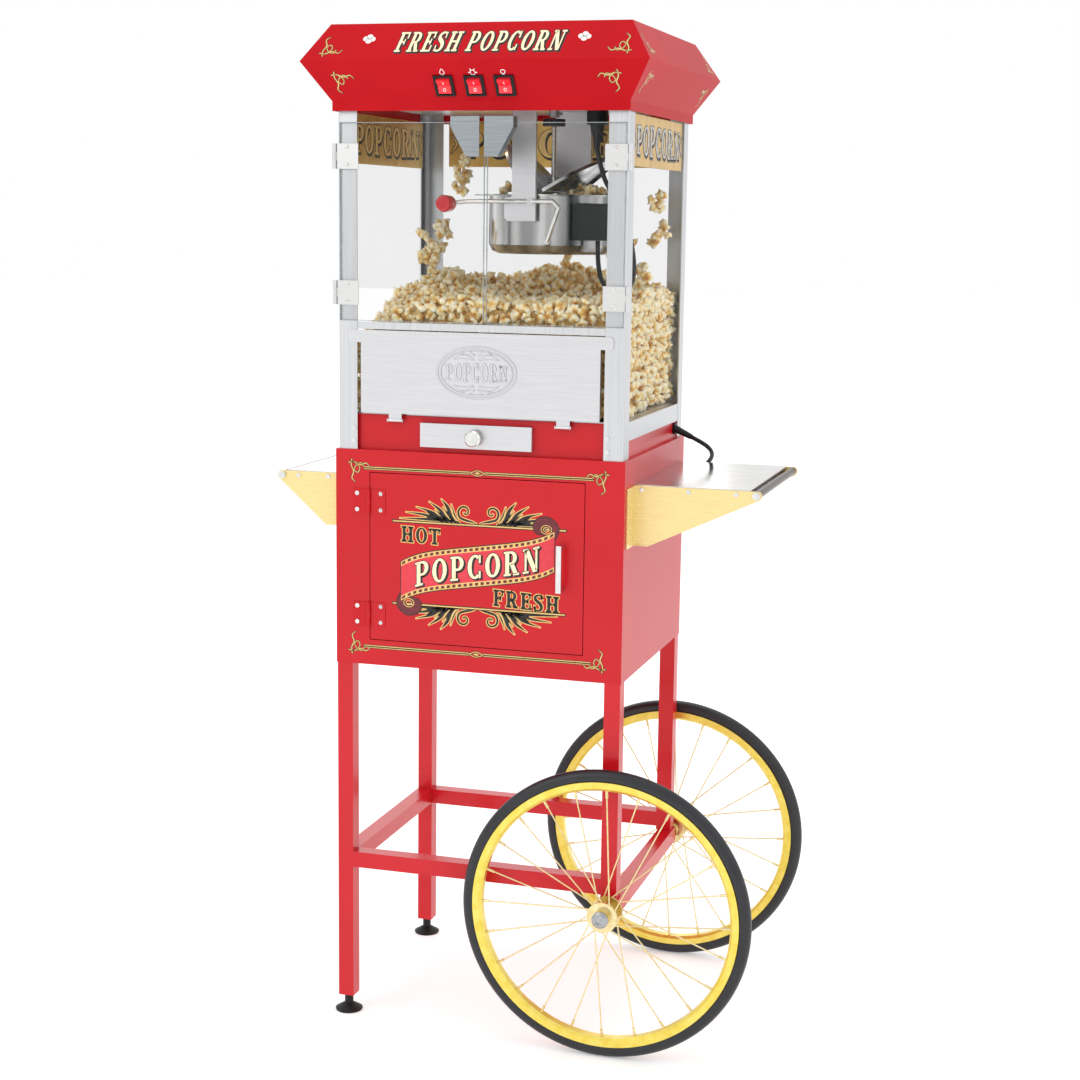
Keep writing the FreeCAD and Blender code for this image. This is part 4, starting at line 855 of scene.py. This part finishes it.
def jitter():
    return dice.uniform(-4.5, 4.5)


def within(x, y):
    return max(-WALL_X, min(WALL_X, x)), max(-WALL_Y, min(WALL_Y, y))


count_x, count_y = int(2 * WALL_X / STEP), int(2 * WALL_Y / STEP)
for i in range(count_x + 1):
    for j in range(count_y + 1):
        x = -WALL_X + 2 * WALL_X * i / count_x + jitter()
        y = -WALL_Y + 2 * WALL_Y * j / count_y + jitter()
        x, y = within(x, y)
        top = heap_top(x, y) - 6
        heap.append((x, y, top + dice.uniform(-4, 3)))
        if dice.random() < 0.75:
            heap.append((x + jitter(), y + jitter(), top - 13))
for wall, span in (("x", WALL_Y), ("y", WALL_X)):
    count = int(2 * span / STEP)
    for side in (-1, 1):
        for i in range(count + 1):
            for k in range(12):
                along = -span + 2 * span * i / count + jitter()
                z = FLOOR + k * STEP + jitter()
                x, y = within(*((side * WALL_X, along) if wall == "x" else (along, side * WALL_Y)))
                if z < heap_top(x, y) - 8:
                    pull = dice.uniform(-1, 6)
                    heap.append((x - side * pull, y, z) if wall == "x" else (x, y - side * pull, z))
heap = [(*within(x, y), z) for x, y, z in heap]
quarters = {"left_front": [], "left_back": [], "right_front": [], "right_back": []}
for x, y, z in heap:
    quarters[("left" if x < 0 else "right") + ("_front" if y < 0 else "_back")].append(at(x, y, z))
for number, (name, points) in enumerate(quarters.items()):
    corn_on("popcorn_heap_" + name, points, "cart", 20 + number, 0.8, 1.12)

# A plain core fills the heap under its loose kernels.
NX, NY = 22, 18
CORE_X, CORE_Y, CORE_FLOOR, LOOSE = 202, 169, 985, 14
grid = [(-CORE_X + 2 * CORE_X * i / NX, -CORE_Y + 2 * CORE_Y * j / NY) for i in range(NX + 1) for j in range(NY + 1)]
core_verts = [at(x, y, heap_top(x, y) - LOOSE) for x, y in grid] + [at(x, y, CORE_FLOOR) for x, y in grid]
core_faces, base = [], len(grid)
for i in range(NX):
    for j in range(NY):
        a = i * (NY + 1) + j
        quad = (a, a + NY + 1, a + NY + 2, a + 1)
        core_faces += [quad, tuple(base + q for q in reversed(quad))]
rim_loop = ([(i, 0) for i in range(NX)] + [(NX, j) for j in range(NY)] + [(i, NY) for i in range(NX, 0, -1)]
            + [(0, j) for j in range(NY, 0, -1)])
for (i, j), (m, n) in zip(rim_loop, rim_loop[1:] + rim_loop[:1]):
    a, b = i * (NY + 1) + j, m * (NY + 1) + n
    core_faces.append((a, base + a, base + b, b))
core = piece("popcorn_core", core_verts, core_faces, [corn], "cart", smooth=60)
core.data.attributes.new("puff", "FLOAT", "POINT").data.foreach_set("value", [0.12] * len(core.data.vertices))

# Corn that is falling from the kettle, and some lying in the bowl.
falling = []
for cx, cy, cz, spread_xy, spread_z, count in (
        (-142, -30, 1222, 10, 16, 20), (-128, -10, 1256, 6, 12, 9), (-112, 60, 1378, 4, 20, 9),
        (-118, 60, 1336, 8, 8, 6), (-42, 150, 1262, 12, 16, 8), (15, 150, 1248, 26, 12, 14),
        (104, 150, 1236, 18, 12, 10), (196, 130, 1300, 5, 18, 7), (196, 120, 1252, 8, 10, 6),
        (190, 20, 1200, 10, 8, 6)):
    for _ in range(count):
        falling.append(at(cx + dice.gauss(0, spread_xy), cy + dice.gauss(0, 7), cz + dice.gauss(0, spread_z)))
corn_on("popcorn_falling", falling, "cart", 31, 0.75, 1.05)
in_bowl = []
for i in range(70):
    a, r = dice.uniform(0, 2 * math.pi), 84 * math.sqrt(dice.uniform(0.05, 1))
    in_bowl.append(at(56 + r * math.cos(a), r * math.sin(a), 1298 + dice.uniform(-6, 7) + 4 * math.cos(a)))
corn_on("popcorn_in_bowl", in_bowl, "kettle", 37, 0.75, 1.0)

# The corn that stands above the kettle's rim, each side in a mesh of its own.
crest_right, crest_left = [], []
for _ in range(34):
    x, y = dice.uniform(82, 132), dice.uniform(-62, 62)
    ceiling = 1323 + (x - 64) * math.tan(math.radians(32)) - 15
    crest_right.append(at(x, y, dice.uniform(1311, max(1313, min(ceiling, 1330)))))
for _ in range(22):
    x, y = dice.uniform(-16, 26), dice.uniform(-58, 40)
    crest_left.append(at(x, y, dice.uniform(1311, 1332)))
for side, spots in (("right", crest_right), ("left", crest_left)):
    crest = corn_on("popcorn_crest_" + side, spots, "kettle", 41, 0.7, 0.9)
    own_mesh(crest)

# ---- screws on the moving doors ------------------------------------------------------------------
def screw_shape():
    """A pan-head screw facing +Z, 1 unit in radius, with a crossed recess pressed in its crown."""
    verts, faces = [], []
    rings = ((1.0, 0.0), (0.98, 0.22), (0.72, 0.42))
    n = 16
    for r, z in rings:
        verts += [(r * math.cos(2 * math.pi * k / n), r * math.sin(2 * math.pi * k / n), z) for k in range(n)]
    for level in range(2):
        low, high = level * n, (level + 1) * n
        faces += [(low + k, low + (k + 1) % n, high + (k + 1) % n, high + k) for k in range(n)]
    for k in range(n):
        sunk = 0.5 if k % 4 else 0.18
        verts.append((0.34 * math.cos(2 * math.pi * k / n), 0.34 * math.sin(2 * math.pi * k / n), sunk))
    faces += [(2 * n + k, 2 * n + (k + 1) % n, 3 * n + (k + 1) % n, 3 * n + k) for k in range(n)]
    verts.append((0, 0, 0.18))
    faces += [(3 * n + k, 3 * n + (k + 1) % n, 4 * n) for k in range(n)]
    faces.append(tuple(range(n - 1, -1, -1)))
    data = bpy.data.meshes.new("screw_head")
    data.from_pydata(verts, [], faces)
    return bpy.data.objects.new("screw_head", data)


SCREW = 3.4
CASE_LEAVES, CUPBOARD_LEAVES = (1384.0, 1358.0, 1178.0, 1153.0), (856.0, 830.5, 677.5, 652.0)
for name, body, x, y, levels, seed in (("left_door", "left_door_leaf", -211.5, -202.95, CASE_LEAVES, 3),
                                       ("right_door", "right_door_leaf", 211.5, -202.95, CASE_LEAVES, 3),
                                       ("cupboard_door", "cabinet_door_leaf", -157.9, -201.35, CUPBOARD_LEAVES, 4)):
    spots = [at(x, y, z) for z in levels]
    scatter(name + "_screws", spots, [screw_shape()], nickel, body, seed, (SCREW * MM, SCREW * MM),
            (0, -1, 0), False)

# ---- edges of the clear doors ----------------------------------------------------------------------
def edge_strip(node, body):
    """A thin frame round a clear sheet, a hair proud of it, that shows its dense sawn edge."""
    low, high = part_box(node)
    wide, proud = 0.0011, 0.0001
    bars = [(low.x, low.z, low.x + wide, high.z), (high.x - wide, low.z, high.x, high.z),
            (low.x, low.z, high.x, low.z + wide), (low.x, high.z - wide, high.x, high.z)]
    verts, faces = [], []
    for x0, z0, x1, z1 in bars:
        base = len(verts)
        verts += [(x, y, z) for y in (low.y - proud, high.y + proud)
                  for x, z in ((x0, z0), (x1, z0), (x1, z1), (x0, z1))]
        faces += [tuple(base + k for k in f)
                  for f in ((0, 1, 2, 3), (4, 7, 6, 5), (0, 4, 5, 1), (1, 5, 6, 2), (2, 6, 7, 3), (3, 7, 4, 0))]
    piece(node + "_edges", verts, faces, [acrylic_edge], body)


edge_strip("left_door", "left_door_leaf")
edge_strip("right_door", "right_door_leaf")

# ---- cords ---------------------------------------------------------------------------------------


def spline_line(points, steps=12):
    """A NURBS curve through the air with those control points, and the points along it."""
    curve = bpy.data.curves.new("route", "CURVE")
    curve.dimensions = "3D"
    curve.resolution_u = steps
    spline = curve.splines.new("NURBS")
    spline.points.add(len(points) - 1)
    for slot_point, p in zip(spline.points, points):
        slot_point.co = (*p, 1.0)
    spline.order_u = 3
    spline.use_endpoint_u = True
    holder = bpy.data.objects.new("route", curve)
    scene.collection.objects.link(holder)
    line = bpy.data.meshes.new_from_object(holder.evaluated_get(bpy.context.evaluated_depsgraph_get()))
    path = [v.co.copy() for v in line.vertices]
    bpy.data.objects.remove(holder)
    return path


def tube(name, path, radius, sides, finish):
    """A closed round tube along a path."""
    verts, faces = [], []
    way = (path[1] - path[0]).normalized()
    side = way.orthogonal().normalized()
    for i, p in enumerate(path):
        new = (path[min(i + 1, len(path) - 1)] - path[max(i - 1, 0)]).normalized()
        side = (side - new * side.dot(new)).normalized()
        other = new.cross(side)
        verts += [p + (side * math.cos(t) + other * math.sin(t)) * radius
                  for t in (2 * math.pi * k / sides for k in range(sides))]
    for i in range(len(path) - 1):
        faces += [(i * sides + k, i * sides + (k + 1) % sides, (i + 1) * sides + (k + 1) % sides, (i + 1) * sides + k)
                  for k in range(sides)]
    last = (len(path) - 1) * sides
    faces += [tuple(range(sides - 1, -1, -1)), tuple(last + k for k in range(sides))]
    data = solid(name, verts, faces, [finish])
    data.polygons.foreach_set("use_smooth", [len(f.vertices) == 4 for f in data.polygons])
    return show(name, data)


kettle_points = [at(*p) for p in (
    (153.014, -84.71, 1248.7), (153.0, -84.0, 1224.0), (155.5, -83.2, 1201.5), (161.5, -82.2, 1183.0),
    (176.0, -82.0, 1171.5), (194.5, -83.5, 1171.5), (208.5, -87.0, 1183.0), (213.5, -92.0, 1203.0),
    (213.0, -99.0, 1231.0), (208.5, -107.0, 1261.0), (198.5, -115.0, 1291.0), (183.5, -122.0, 1320.0),
    (168.0, -125.0, 1349.0), (160.0, -125.0, 1387.0))]
kettle_path = spline_line(kettle_points)
lead = tube("kettle_cord", kettle_path, 3.6 * MM, 12, rubber)
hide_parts("kettle_lead")
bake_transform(lead)

boot_end = (257.0, 148.0, 927.5)
mains_points = [boot_end, (275.0, 149.0, 919.0), (287.0, 162.0, 907.0), (286.0, 183.0, 893.0), (274.0, 202.0, 879.0),
                (255.0, 215.0, 862.0), (236.0, 220.5, 840.0), (221.0, 219.5, 814.0), (212.5, 217.0, 786.0),
                (209.0, 214.0, 757.0)]
# The coil: each turn has its own radius and row, and the last part of a turn crosses over to the next.
COIL = (170.0, 215.0, 705.0)
TURN_POINTS, FIRST_ANGLE, TURNS, CROSSING = 14, 30.0, 6.36, 0.18
tracks = [44.0, 36.8, 29.7, 29.7, 36.8, 44.0, 44.0, 44.0]
rows = [-3.7] * 3 + [3.7] * 5
for k in range(int(TURNS * TURN_POINTS) + 1):
    done = k / TURN_POINTS
    whole, part = int(done), done - int(done)
    shift = max(0.0, (part - (1 - CROSSING)) / CROSSING)
    r = tracks[whole] + (tracks[whole + 1] - tracks[whole]) * shift
    row = rows[whole] + (rows[whole + 1] - rows[whole]) * shift
    a = math.radians(FIRST_ANGLE - 360 * done)
    mains_points.append((COIL[0] + r * math.cos(a), COIL[1] + row, COIL[2] + r * math.sin(a)))
mains_points += [(134.0, 218.0, 659.5), (115.0, 217.0, 649.0), (106.0, 216.0, 630.0), (105.0, 216.0, 610.0)]
mains_path = spline_line([at(*p) for p in mains_points], 8)
mains = tube("mains_cord", mains_path, 3.5 * MM, 10, rubber)
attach(mains, "cart")
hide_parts("mains_lead", "mains_coil")

# ---- floor ---------------------------------------------------------------------------------------
floor_mat = coat("paper_white_sweep", ("#F7F7F7", "#FBFBFB"), 600, Roughness=0.8, Emission_Strength=0.22,
    Emission_Color=ink("#FFFFFF"))
data = bpy.data.meshes.new("studio_floor")
data.from_pydata([(-30, -30, 0), (30, -30, 0), (30, 30, 0), (-30, 30, 0)], [], [(0, 1, 2, 3)])
data.materials.append(floor_mat)
floor = bpy.data.objects.new("studio_floor", data)
scene.collection.objects.link(floor)
